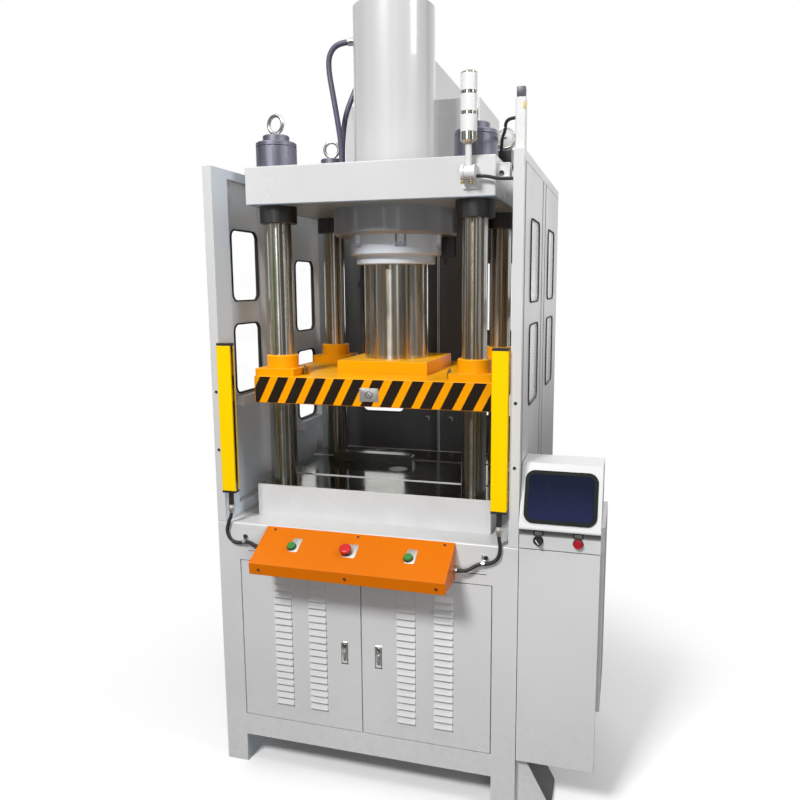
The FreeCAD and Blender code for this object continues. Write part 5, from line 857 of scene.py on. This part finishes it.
class PRESS_OT_camera(bpy.types.Operator):
    """Sets the camera at the photograph's place"""

    bl_idname = "press.camera"
    bl_label = "Camera"

    def execute(self, context):
        start_afresh()
        yaw, pitch, roll = (math.radians(turn) for turn in (YAW, PITCH, ROLL))
        ahead = Vector((-math.sin(yaw) * math.cos(pitch), math.cos(yaw) * math.cos(pitch),
                        -math.sin(pitch)))
        bpy.ops.object.camera_add(location=CAMERA_PLACE)
        camera = bpy.context.object
        turn = ahead.to_track_quat("-Z", "Y").to_matrix() @ Matrix.Rotation(-roll, 3, "Z")
        camera.rotation_euler = turn.to_euler()
        camera.data.sensor_width, camera.data.lens = SENSOR_WIDTH, LENS
        camera.data.shift_x, camera.data.shift_y = SHIFT_X, SHIFT_Y
        bpy.context.scene.camera = camera
        return {"FINISHED"}


class PRESS_OT_finishes(bpy.types.Operator):
    """Makes the finishes and puts them on the press's own parts"""

    bl_idname = "press.finishes"
    bl_label = "Finishes"

    def execute(self, context):
        make_finishes()
        for name, nodes in CAD_FINISHES.items():
            for node in nodes:
                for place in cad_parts[node].material_slots:
                    place.material = FINISHES[name]
        return {"FINISHED"}


# ---------------------------------------------------------------- windows
# In metres: the sheet that a gasket grips, its lip, and the groove of its locking strip
GUARD_SHEET = 0.003
LIP_WIDTH, LIP_RISE = 0.0010, 0.0008
GROOVE_INSET, GROOVE_DEPTH = 0.0014, 0.0014
STRIP_INSET, STRIP_RISE = 0.0004, 0.0009
PANE_SETBACK = 0.0015
WINDOW_SEGMENTS = 8


def window_gasket(name, wide, high):
    """The rubber ring of a window, with its locking strip, facing -Y at y = 0."""
    sizes = settings().sizes
    width, proud = sizes.gasket_width, sizes.gasket_proud
    piece = start_sheet(name, wide + width, high + width, sizes.window_radius + width / 2,
                        WINDOW_SEGMENTS, 90)
    pick(piece, "FACE")
    bpy.ops.mesh.inset(thickness=width, use_boundary=True)
    bpy.ops.mesh.delete(type="FACE")
    pick(piece, "FACE")
    extrude(0, 2 * proud + GUARD_SHEET, 0)
    face_outwards(piece)
    pick(piece, "FACE", lambda face: face.normal.y < -0.9)
    bpy.ops.mesh.inset(thickness=LIP_WIDTH, use_boundary=True)
    shift(0, -LIP_RISE, 0)
    bpy.ops.mesh.inset(thickness=GROOVE_INSET, use_boundary=True)
    extrude(0, GROOVE_DEPTH, 0)
    bpy.ops.mesh.inset(thickness=STRIP_INSET, use_boundary=True)
    shift(0, -STRIP_RISE, 0)
    leave_edit()
    piece.data.transform(Matrix.Translation((0, LIP_RISE - proud, 0)))
    round_edges(piece, 0.0004, 2, 50)
    return piece


def window_pane(name, wide, high):
    """A clear pane behind its gasket's lip, in the middle of the sheet."""
    sizes = settings().sizes
    less = sizes.gasket_width / 2
    piece = start_sheet(name, wide - less, high - less, sizes.window_radius - less / 2,
                        WINDOW_SEGMENTS, 90)
    pick(piece, "FACE")
    extrude(0, sizes.pane, 0)
    face_outwards(piece)
    leave_edit()
    piece.data.transform(Matrix.Translation((0, PANE_SETBACK - sizes.pane / 2, 0)))
    return piece


# Each side window: its middle from front to back, its width, and its bottom and top from
# the guard's middle. The rear doors' windows have their middle from the press's axis.
RIGHT_WINDOWS = (
    (FRONT_PANEL - 30, 220, -178.5, 83.5), (FRONT_PANEL - 30, 220, 156.5, 418.5),
    (REAR_PANEL, 220, -178.5, 83.5), (REAR_PANEL, 220, 156.5, 418.5),
)
LEFT_WINDOWS = (
    (FRONT_PANEL - 57, 190, -173.5, 76.5), (FRONT_PANEL - 57, 190, 159.5, 409.5),
    (REAR_PANEL - 20, 180, -361.5, -65.5), (REAR_PANEL - 20, 180, 20.5, 316.5),
)
REAR_DOOR_WINDOWS = ((269.25, 207, -379.5, -81.5), (269.25, 207, 8.5, 307.5))


class PRESS_OT_windows(bpy.types.Operator):
    """Puts a rubber gasket and a clear pane in every window"""

    bl_idname = "press.windows"
    bl_label = "Windows"

    def execute(self, context):
        alike = {}
        for (side, word), windows in zip(SIDES, (LEFT_WINDOWS, RIGHT_WINDOWS)):
            for number, (middle, *size) in enumerate(windows, 1):
                self.note(alike, f"{word}_window_{number}", (side * HALF_BASE, middle), size,
                          90 * side, FRAME_BODY, "side_windows")
        for side, word in SIDES:
            for number, (middle, *size) in enumerate(REAR_DOOR_WINDOWS, 1):
                self.note(alike, f"rear_{word}_window_{number}", (side * middle, BACK), size,
                          180, f"rear_{word}_door_body", f"rear_{word}_windows")
        for (wide, high), windows in alike.items():
            self.fit(wide / 1000, high / 1000, windows)
        return {"FINISHED"}

    def note(self, alike, name, spot, size, degrees, body, node):
        """Puts a window on the list of those that have its size."""
        wide, low, high = size
        place = standing_at(*spot, GUARD_MIDDLE + (low + high) / 2) @ turned(degrees)
        alike.setdefault((wide, high - low), []).append((name, place, body, node))

    def fit(self, wide, high, windows):
        """Models a gasket and a pane once and puts a copy in every window of one size."""
        for word, model, finish_name in (("gasket", window_gasket, "rubber"),
                                         ("pane", window_pane, "glass")):
            names = [f"{name}_{word}" for name, *_ in windows]
            pieces = copies(model(names[0], wide, high), names)
            for piece, (_, place, body, node) in zip(pieces, windows):
                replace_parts(put(piece, place, finish_name, body), node)


# ---------------------------------------------------------------- small parts
# Radius and height of each kind of screw head, in metres
BOX_SCREW, POST_PLUG, CLIP_SCREW = (0.0042, 0.0022), (0.0052, 0.0016), (0.0072, 0.0046)
LABEL_RIVET, KNUCKLE_SCREW, LATCH_LOCK = (0.0018, 0.001), (0.0055, 0.003), (0.0058, 0.0030)

LEGEND_THICKNESS, LEGEND_CORNER = 0.0008, 0.006
SLOPE_UP = (0.0, 145.0, 80.0)       # up the control box's slope
UPRIGHT = (0.0, 0.0, 1.0)
# Each legend plate of the control box: its middle, its width and its height in metres
BOX_LEGENDS = (
    ("left_legend", (-203.0, -496.75, 864.83), 0.032, 0.058),
    ("stop_legend", (-6.0, -498.5, 863.864), 0.040, 0.056),
    ("right_legend", (196.0, -496.75, 864.83), 0.034, 0.058),
)
# Each screw of the control box's front lip and top edge: its place and which way is up
BOX_SCREWS = (
    *(("lip_screw", (x, -578.0, 801.0), UPRIGHT) for x in (-300.0, 0.0, 298.0)),
    *(("top_screw", (x, -445.0, 893.4), SLOPE_UP) for x in (-300.0, 0.0, 294.0)),
)


class PRESS_OT_box_parts(bpy.types.Operator):
    """Puts legend plates and screws on the two-hand control box"""

    bl_idname = "press.box_parts"
    bl_label = "Control box parts"

    def execute(self, context):
        for name, middle, wide, high in BOX_LEGENDS:
            plate = flat_plate(name, wide, high, LEGEND_THICKNESS, LEGEND_CORNER)
            put(plate, on_face(*middle, up=SLOPE_UP), "legend")
        names = [f"{name}_{number}" for number, (name, *_) in enumerate(BOX_SCREWS)]
        heads = copies(screw(names[0], *BOX_SCREW), names)
        for head, (_, place, up) in zip(heads, BOX_SCREWS):
            put(head, on_face(*place, up=up), "plastic")
        return {"FINISHED"}


SELECTOR_X, RED_BUTTON_X = 588.0, 709.0
SELECTOR_Z, HEAD_LEGEND_Z = 933.0, 956.5
SELECTOR_TURN = 40.0


class PRESS_OT_screen_parts(bpy.types.Operator):
    """Puts the legend frames and the selector's pointer under the screen"""

    bl_idname = "press.screen_parts"
    bl_label = "Screen head parts"

    def execute(self, context):
        names = ["selector_legend", "red_legend"]
        frames = copies(framed_plate(names[0], 0.031, 0.018, 0.0022, 0.004, 0.003), names)
        face_names = [f"{name}_face" for name in names]
        faces = copies(flat_plate(face_names[0], 0.023, 0.010, 0.0012, 0.0015, 0.0002),
                       face_names)
        for x, rim, face in zip((SELECTOR_X, RED_BUTTON_X), frames, faces):
            place = on_face(x, FRONT, HEAD_LEGEND_Z)
            put(rim, place, "plastic")
            put(face, place, "legend")
        pointer = start_block("selector_pointer", (-0.0012, -0.007, 0.0245),
                              (0.0012, 0.0105, 0.0260))
        round_edges(pointer, 0.0004)
        put(pointer, on_face(SELECTOR_X, FRONT, SELECTOR_Z) @ turned(SELECTOR_TURN),
            "white_plastic", "mode_selector_body")
        return {"FINISHED"}


POST_MIDDLE = 511.0
POST_HOLES = (1359.0, 1157.0)
CLIP_FACE = FRONT - 4.5
CLIP_SCREWS = ((-419.0, CLIP_FACE, 857.0), (426.0, CLIP_FACE, 862.0))


class PRESS_OT_post_screws(bpy.types.Operator):
    """Puts the screws in the front posts' holes and in the cables' clips"""

    bl_idname = "press.post_screws"
    bl_label = "Post and clip screws"

    def execute(self, context):
        names = [f"{word}_post_plug_{number}" for _, word in SIDES for number in (1, 2)]
        places = [(side * POST_MIDDLE, FRONT, z) for side, _ in SIDES for z in POST_HOLES]
        for plug, place in zip(copies(screw(names[0], *POST_PLUG), names), places):
            put(plug, on_face(*place), "plastic")
        names = ["clip_screw_1", "clip_screw_2"]
        heads = copies(screw(names[0], *CLIP_SCREW, WIDE_RIM), names)
        for head, place in zip(heads, CLIP_SCREWS):
            put(head, on_face(*place), "plastic")
        return {"FINISHED"}


MAST_MARK, MAST_CAP = (522.0, -419.0, 2228.0), (POST_MIDDLE, -402.0, 2251.0)
MAST_CAP_HALF = 0.0125


class PRESS_OT_mast_parts(bpy.types.Operator):
    """Puts the cap's cover and the yellow mark on the mast"""

    bl_idname = "press.mast_parts"
    bl_label = "Mast parts"

    def execute(self, context):
        mark = flat_plate("mast_mark", 0.005, 0.021, 0.0004, 0.001, 0.0001)
        put(mark, on_face(*MAST_MARK), "curtain")
        cap = start_block("mast_cap_cover", (-MAST_CAP_HALF, -MAST_CAP_HALF, -0.001),
                          (MAST_CAP_HALF, MAST_CAP_HALF, 0.0305))
        round_edges(cap, 0.0016)
        put(cap, standing_at(*MAST_CAP), "cap")
        return {"FINISHED"}


APRON_SEAM = (6.0, FRONT, 804.0)
BEAD_PLACES = (-401.0, 62.0, 152.0)     # from front to back on either guard
BEAD_GAPS = (2.0, 32.0)                 # from the deck up and from the guard's top down
BEAD_PROUD = 0.6


class PRESS_OT_seams(bpy.types.Operator):
    """Lays the sealant in the guards' seams and the seam across the front apron"""

    bl_idname = "press.seams"
    bl_label = "Seams"

    def execute(self, context):
        seam = flat_plate("apron_seam", 0.842, 0.0022, 0.0003, 0.001, 0.0001)
        put(seam, on_face(*APRON_SEAM), "tape")
        names = [f"{word}_seam_bead_{number}" for _, word in SIDES for number in (1, 2, 3)]
        places = [(side * (HALF_BASE + BEAD_PROUD), y) for side, _ in SIDES for y in BEAD_PLACES]
        below, above = BEAD_GAPS
        long = (GUARD_TOP - DECK_TOP - below - above) / 1000
        bead = start_block(names[0], (-0.0010, -0.0009, 0.0), (0.0010, 0.0009, long))
        round_edges(bead, 0.0005)
        for piece, place in zip(copies(bead, names), places):
            put(piece, standing_at(*place, DECK_TOP + below), "sealant")
        return {"FINISHED"}


PLUG_RADIUS, PLUG_LENGTH = 0.0092, 0.030
GRIP_TOP, GRIP_BOTTOM, GRIP_RISE = -0.007, -0.019, 0.0016


class PRESS_OT_curtain_plugs(bpy.types.Operator):
    """Makes the plugs with their grips under the light curtains"""

    bl_idname = "press.curtain_plugs"
    bl_label = "Light curtain plugs"

    def execute(self, context):
        names = [f"{word}_curtain_plug" for _, word in SIDES]
        plug = start_round(names[0], -PLUG_LENGTH, PLUG_RADIUS, PLUG_LENGTH)
        for height in (GRIP_TOP, GRIP_BOTTOM):
            pick(plug, "FACE", lambda face: abs(face.normal.z) < 0.2)
            bpy.ops.mesh.bisect(plane_co=(0, 0, height), plane_no=(0, 0, 1))
        pick(plug, "FACE", lambda face: abs(face.normal.z) < 0.2
             and GRIP_BOTTOM < face.calc_center_median().z < GRIP_TOP)
        bpy.ops.mesh.extrude_region_shrink_fatten(
            TRANSFORM_OT_shrink_fatten={"value": GRIP_RISE})
        round_edges(plug, 0.0008)
        for piece, (side, _) in zip(copies(plug, names), SIDES):
            put(piece, standing_at(side * CURTAIN_X, CURTAIN_Y, PLUG_END), "latch")
        return {"FINISHED"}


LABEL_X, LABEL_Z = 4.0, 1352.0
LABEL_FACE, RIVET_FACE = -331.5, -332.7
RIVETS = ((-30, 19), (30, 19), (-30, -19), (30, -19))
SIGN_TURN = 40.0


class PRESS_OT_slide_label(bpy.types.Operator):
    """Makes the riveted label with its round sign in the middle of the slide's front"""

    bl_idname = "press.slide_label"
    bl_label = "Slide label"

    def execute(self, context):
        place = on_face(LABEL_X, LABEL_FACE, LABEL_Z)
        put(flat_plate("slide_label", 0.067, 0.046, 0.0012, 0.002), place, "latch",
            SLIDE_BODY)
        put(self.sign(), place, "plastic", SLIDE_BODY)
        names = [f"label_rivet_{number}" for number in range(len(RIVETS))]
        heads = copies(screw(names[0], *LABEL_RIVET, WIDE_RIM), names)
        for head, (x, z) in zip(heads, RIVETS):
            put(head, on_face(LABEL_X + x, RIVET_FACE, LABEL_Z + z), "zinc", SLIDE_BODY)
        return {"FINISHED"}

    def sign(self):
        """A ring with a bar across it."""
        start_afresh()
        bpy.ops.mesh.primitive_torus_add(major_radius=0.0115, minor_radius=0.0011,
                                         major_segments=48, minor_segments=8,
                                         location=(0, 0, 0.0012))
        ring = named("label_ring")
        pick(ring, "VERT")
        bpy.ops.transform.resize(value=(1, 1, 0.4))
        bar = start_block("label_bar", (-0.0009, -0.011, 0.0011), (0.0009, 0.011, 0.0015))
        bar.data.transform(turned(SIGN_TURN))
        return joined([ring, bar], "label_sign")


# The pressure gauge's face: its middle and its steps, the turn of the first one, of each
# step and of the pointer in degrees, and in metres where a long and a short mark start
# and where both end
GAUGE_MIDDLE = (422.0, -135.0, 2192.0)
GAUGE_STEPS, LONG_STEP = 21, 5
FIRST_TURN, STEP_TURN, NEEDLE_TURN = 135.0, 13.5, 118.0
LONG_MARK, SHORT_MARK, MARK_END = 0.0205, 0.0228, 0.0262


class PRESS_OT_gauge(bpy.types.Operator):
    """Makes the pressure gauge's rim, dial, marks and pointer"""

    bl_idname = "press.gauge"
    bl_label = "Pressure gauge"

    def execute(self, context):
        place = on_face(*GAUGE_MIDDLE)
        rim = start_round("gauge_rim", -0.006, 0.0335, 0.0085, 64)
        pick_top(rim)
        bpy.ops.mesh.inset(thickness=0.0045)
        extrude(0, 0, -0.002)
        round_edges(rim, 0.0009, 3, 50)
        put(rim, place, "chrome")
        put(start_round("gauge_dial", 0.0006, 0.0287, 0.0004, 48), place, "white_plastic")
        put(joined([self.needle(), *self.marks()], "gauge_marks"), place, "plastic")
        return {"FINISHED"}

    def needle(self):
        """The pointer on its hub."""
        needle = start_block("gauge_needle", (-0.0009, -0.006, 0.0014), (0.0009, 0.021, 0.0019))
        pick(needle, "VERT", lambda point: point.co.y > 0.02)
        bpy.ops.transform.resize(value=(0.2, 1, 1))
        leave_edit()
        needle.data.transform(turned(NEEDLE_TURN))
        hub = start_round("gauge_hub", 0.0012, 0.003, 0.0012)
        return joined([needle, hub], "gauge_needle")

    def marks(self):
        """The long and the short marks, each kind modelled once and copied."""
        made = []
        for start, is_long in ((LONG_MARK, True), (SHORT_MARK, False)):
            steps = [step for step in range(GAUGE_STEPS) if (step % LONG_STEP == 0) == is_long]
            first = start_block("gauge_mark", (-0.0005, start, 0.001), (0.0005, MARK_END, 0.0013))
            for mark, step in zip(copies(first, ["gauge_mark"] * len(steps)), steps):
                mark.data.transform(turned(FIRST_TURN - STEP_TURN * step))
                made.append(mark)
        return made


KNUCKLE_SCREW_X, KNUCKLE_SCREW_Z = (334.5, 361.5), 2022.0


class PRESS_OT_lamp_parts(bpy.types.Operator):
    """Puts the two brass screws on the signal lamp's foot, under its knuckle"""

    bl_idname = "press.lamp_parts"
    bl_label = "Lamp parts"

    def execute(self, context):
        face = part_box("lamp_foot")[0][1] * 1000 - AXIS_Y
        names = ["knuckle_screw_0", "knuckle_screw_1"]
        heads = copies(screw(names[0], *KNUCKLE_SCREW), names)
        for head, x in zip(heads, KNUCKLE_SCREW_X):
            put(head, on_face(x, face, KNUCKLE_SCREW_Z), "brass")
        return {"FINISHED"}


SLIDE_TOP = 1405.0
NIPPLE_X, NIPPLE_Y = 262.0, 250.0


class PRESS_OT_grease(bpy.types.Operator):
    """Makes the grease nipples beside the guide bushes"""

    bl_idname = "press.grease"
    bl_label = "Grease nipples"

    def execute(self, context):
        names = [f"grease_nipple_{number}" for number in (1, 2, 3, 4)]
        first = start_round(names[0], 0, 0.009, 0.020, 6)
        for inset, rise in ((0.0035, 0.009), (0.0018, 0.006)):
            pick(first, "FACE", lambda face: face.normal.z > 0.9 and face.calc_area() > 1e-6)
            bpy.ops.mesh.inset(thickness=inset)
            extrude(0, 0, rise)
        round_edges(first, 0.0008)
        places = [(x, y) for x in (-NIPPLE_X, NIPPLE_X) for y in (-NIPPLE_Y, NIPPLE_Y)]
        for piece, place in zip(copies(first, names), places):
            put(piece, standing_at(*place, SLIDE_TOP), "brass", SLIDE_BODY)
        return {"FINISHED"}


# How much less wide and tall than the latch its rim is, in metres, and how far the lever
# lies under the latch's middle and the lock under its top, in millimetres
RIM_LESS = (0.004, 0.010)
LEVER_DROP, LOCK_DROP = 6.0, 16.0


class PRESS_OT_latch_plates(bpy.types.Operator):
    """Puts a raised frame, a lever and a lock on each door latch"""

    bl_idname = "press.latch_plates"
    bl_label = "Latch plates"

    def execute(self, context):
        words = [word for _, word in SIDES]
        low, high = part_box("left_latch")
        wide, tall = high[0] - low[0], high[2] - low[2]
        rims = copies(framed_plate("left_latch_rim", wide - RIM_LESS[0], tall - RIM_LESS[1],
                                   0.0014, 0.002, 0.0020), [f"{word}_latch_rim" for word in words])
        lever = start_block("left_latch_lever", (-0.0045, -0.022, 0.0), (0.0045, 0.014, 0.0030))
        round_edges(lever, 0.0012, 3)
        levers = copies(lever, [f"{word}_latch_lever" for word in words])
        locks = copies(screw("left_latch_lock", *LATCH_LOCK),
                       [f"{word}_latch_lock" for word in words])
        for word, rim, lever, lock in zip(words, rims, levers, locks):
            low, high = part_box(f"{word}_latch")
            x = (low[0] + high[0]) * 500 - AXIS_X
            y = low[1] * 1000 - AXIS_Y
            z = (low[2] + high[2]) * 500
            body = f"{word}_latch_body"
            put(rim, on_face(x, y, z), "latch", body)
            put(lever, on_face(x, y, z - LEVER_DROP), "latch", body)
            put(lock, on_face(x, y, z + tall * 500 - LOCK_DROP), "chrome", body)
        return {"FINISHED"}


JUNCTION_BOX, JUNCTION_PLUG = (426.0, -290.0, 2066.0), (440.0, -306.5, 2057.0)


class PRESS_OT_junction(bpy.types.Operator):
    """Makes the small junction box on the crown's right side"""

    bl_idname = "press.junction"
    bl_label = "Junction box"

    def execute(self, context):
        box = start_block("junction_box", (0.0, -0.018, -0.022), (0.040, 0.018, 0.022))
        pick(box, "FACE", lambda face: face.normal.y < -0.9)
        bpy.ops.mesh.inset(thickness=0.004)
        extrude(0, 0.0015, 0)
        round_edges(box, 0.0014, 3)
        put(box, standing_at(*JUNCTION_BOX), "white_plastic")
        plug = start_round("junction_plug", 0, 0.0075, 0.004)
        pick_top(plug)
        bpy.ops.mesh.inset(thickness=0.002)
        extrude(0, 0, -0.002)
        round_edges(plug, 0.0006, 2, 50)
        put(plug, on_face(*JUNCTION_PLUG), "plastic")
        return {"FINISHED"}


# ---------------------------------------------------------------- stage
WHITE = (1.0, 1.0, 1.0, 1.0)
FLOOR_RADIUS, FLOOR_DROP = 9.0, 0.0005
FLOOR_FADE = (0.75, 1.7)            # from the middle, in metres, to plain white
AIM = (-0.1, -0.1, 1.3)
# Each soft light: its name in the settings, place, size, and whether metal mirrors it
LIGHTS = (
    ("front_light", "key", (-1.5, -5.6, 6.2), (1.6, 1.3), True),
    ("right_light", "side", (3.4, -1.2, 4.4), (1.2, 1.8), True),
    ("fill_light", "fill", (1.5, -4.2, 1.1), (1.6, 1.2), False),
    ("rear_light", "rear", (-1.8, 5.4, 4.6), (2.0, 1.6), False),
)
# What chrome mirrors round the press: degrees from the front towards +X, and the tone
MIRRORED = (
    (-180, (0.9, 0.9, 0.9)), (180, (0.9, 0.9, 0.9)), (-140, (0.9, 0.9, 0.9)),
    (-125, (0.22, 0.22, 0.22)), (-112, (0.70, 0.70, 0.70)), (-98, (0.16, 0.16, 0.16)),
    (-66, (0.07, 0.07, 0.07)), (-60, (0.62, 0.62, 0.62)), (-54, (0.10, 0.10, 0.10)),
    (-30, (0.22, 0.22, 0.21)), (-9, (0.07, 0.07, 0.07)), (-4, (0.95, 0.95, 0.93)),
    (1, (0.09, 0.09, 0.08)), (17, (0.22, 0.21, 0.20)), (21, (0.95, 0.95, 0.93)),
    (26, (0.12, 0.12, 0.11)), (44, (0.04, 0.04, 0.04)), (57, (0.06, 0.06, 0.06)),
    (62, (0.80, 0.81, 0.85)), (68, (0.08, 0.08, 0.08)), (92, (0.22, 0.22, 0.22)),
    (112, (0.75, 0.75, 0.75)), (122, (0.16, 0.16, 0.16)), (140, (0.9, 0.9, 0.9)),
)


class PRESS_OT_stage(bpy.types.Operator):
    """Makes the pale floor, the soft lights and the room's even light"""

    bl_idname = "press.stage"
    bl_label = "Stage"

    def execute(self, context):
        self.floor()
        for light in LIGHTS:
            self.light(*light)
        self.room(settings().light.room)
        scene = bpy.context.scene
        scene.view_settings.view_transform = "Standard"
        scene.view_settings.look = "None"
        return {"FINISHED"}

    def floor(self):
        """A round floor that fades to white and takes the press's shadow."""
        start_afresh()
        bpy.ops.mesh.primitive_circle_add(vertices=96, radius=FLOOR_RADIUS, fill_type="NGON",
                                          location=(0, 0, -FLOOR_DROP))
        floor = named("studio_floor")
        material, tree, shader, coords = new_finish("floor_paint")
        x, y, _ = parts_of(tree, coords)
        wire(tree, shader, Roughness=0.7,
             Base_Color=blend(tree, noise(tree, coords, 1.2, 3.0), (0.90, 0.90, 0.90),
                              (0.86, 0.86, 0.86)))
        away = maths(tree, "SQRT", maths(tree, "ADD", times(tree, x, x), times(tree, y, y)))
        white = add(tree, "ShaderNodeEmission", Color=WHITE, Strength=1.0)
        fade = add(tree, "ShaderNodeMixShader", i0=ramp(tree, away, *FLOOR_FADE),
                   i1=shader.outputs[0], i2=white.outputs[0])
        wire(tree, tree.nodes["Material Output"], Surface=fade.outputs[0])
        floor.data.materials.append(material)
        floor.visible_diffuse = False
        floor.visible_glossy = False

    def light(self, name, setting, place, size, mirrored):
        """A rectangular soft light that looks at the press."""
        bpy.ops.object.light_add(type="AREA", location=place)
        lamp = bpy.context.object
        lamp.name = name
        aim = Vector(AIM) - Vector(place)
        lamp.rotation_euler = aim.to_track_quat("-Z", "Y").to_euler()
        lamp.data.shape = "RECTANGLE"
        lamp.data.size, lamp.data.size_y = size
        lamp.data.energy = getattr(settings().light, setting)
        lamp.visible_camera = False
        lamp.visible_glossy = mirrored

    def room(self, strength):
        """Even light all round, the bands that chrome mirrors, and white behind it all."""
        world = bpy.data.worlds.new("studio")
        bpy.context.scene.world = world
        world.use_nodes = True
        tree = world.node_tree
        tree.nodes.clear()
        coords = tree.nodes.new("ShaderNodeTexCoord").outputs["Generated"]
        x, y, z = parts_of(tree, coords)
        even = blend(tree, ramp(tree, z, -0.35, 0.85), (0.12, 0.12, 0.12), WHITE)
        lit = add(tree, "ShaderNodeBackground", Color=even, Strength=strength)
        turn = maths(tree, "ARCTAN2", x, times(tree, y, -1.0))
        share = maths(tree, "ADD", maths(tree, "DIVIDE", turn, 2 * math.pi), 0.5)
        bands = add(tree, "ShaderNodeValToRGB", Fac=share)
        stops = bands.color_ramp.elements
        for number, (degrees, tone) in enumerate(MIRRORED):
            place = degrees / 360 + 0.5
            stop = stops[number] if number < 2 else stops.new(place)
            stop.position = place
            stop.color = (*tone, 1.0)
        above = blend(tree, ramp(tree, z, 0.45, 0.8), bands.outputs["Color"], (0.8, 0.8, 0.8))
        below = blend(tree, ramp(tree, z, 0.0, -0.22), above, (0.09, 0.09, 0.085))
        mirrored = add(tree, "ShaderNodeBackground", Color=below, Strength=1.4)
        seen = add(tree, "ShaderNodeBackground", Color=WHITE, Strength=1.0)
        path = tree.nodes.new("ShaderNodeLightPath")
        shiny = add(tree, "ShaderNodeMixShader", i0=path.outputs["Is Glossy Ray"],
                    i1=lit.outputs[0], i2=mirrored.outputs[0])
        mix = add(tree, "ShaderNodeMixShader", i0=path.outputs["Is Camera Ray"],
                  i1=shiny.outputs[0], i2=seen.outputs[0])
        add(tree, "ShaderNodeOutputWorld", Surface=mix.outputs[0])


class PRESS_PT_panel(bpy.types.Panel):
    """Lists the steps that dress the press"""

    bl_label = "Hydraulic Press"
    bl_idname = "PRESS_PT_panel"
    bl_space_type = "VIEW_3D"
    bl_region_type = "UI"
    bl_category = "Press"

    def draw(self, context):
        for step in STEPS:
            self.layout.operator(step.bl_idname)
        press = context.scene.press
        for group in (press.colours, press.sizes, press.light):
            box = self.layout.box()
            for name in group.__annotations__:
                box.prop(group, name)


STEPS = (
    PRESS_OT_camera, PRESS_OT_finishes, PRESS_OT_cords, PRESS_OT_windows,
    PRESS_OT_box_parts, PRESS_OT_screen_parts, PRESS_OT_post_screws, PRESS_OT_mast_parts,
    PRESS_OT_seams, PRESS_OT_curtain_plugs, PRESS_OT_slide_label, PRESS_OT_gauge,
    PRESS_OT_lamp_parts, PRESS_OT_grease, PRESS_OT_latch_plates, PRESS_OT_junction,
    PRESS_OT_stage,
)
GROUPS = (PressColours, PressSizes, PressLight, PressSettings)


def register():
    for item in (*GROUPS, *STEPS, PRESS_PT_panel):
        bpy.utils.register_class(item)
    bpy.types.Scene.press = PointerProperty(type=PressSettings)


def unregister():
    del bpy.types.Scene.press
    for item in reversed((*GROUPS, *STEPS, PRESS_PT_panel)):
        bpy.utils.unregister_class(item)


def main():
    """Dresses the press step by step."""
    register()
    for step in STEPS:
        group, name = step.bl_idname.split(".")
        if getattr(getattr(bpy.ops, group), name)() != {"FINISHED"}:
            raise RuntimeError(f"{step.bl_label} didn't finish")


if __name__ == "__main__":
    main()
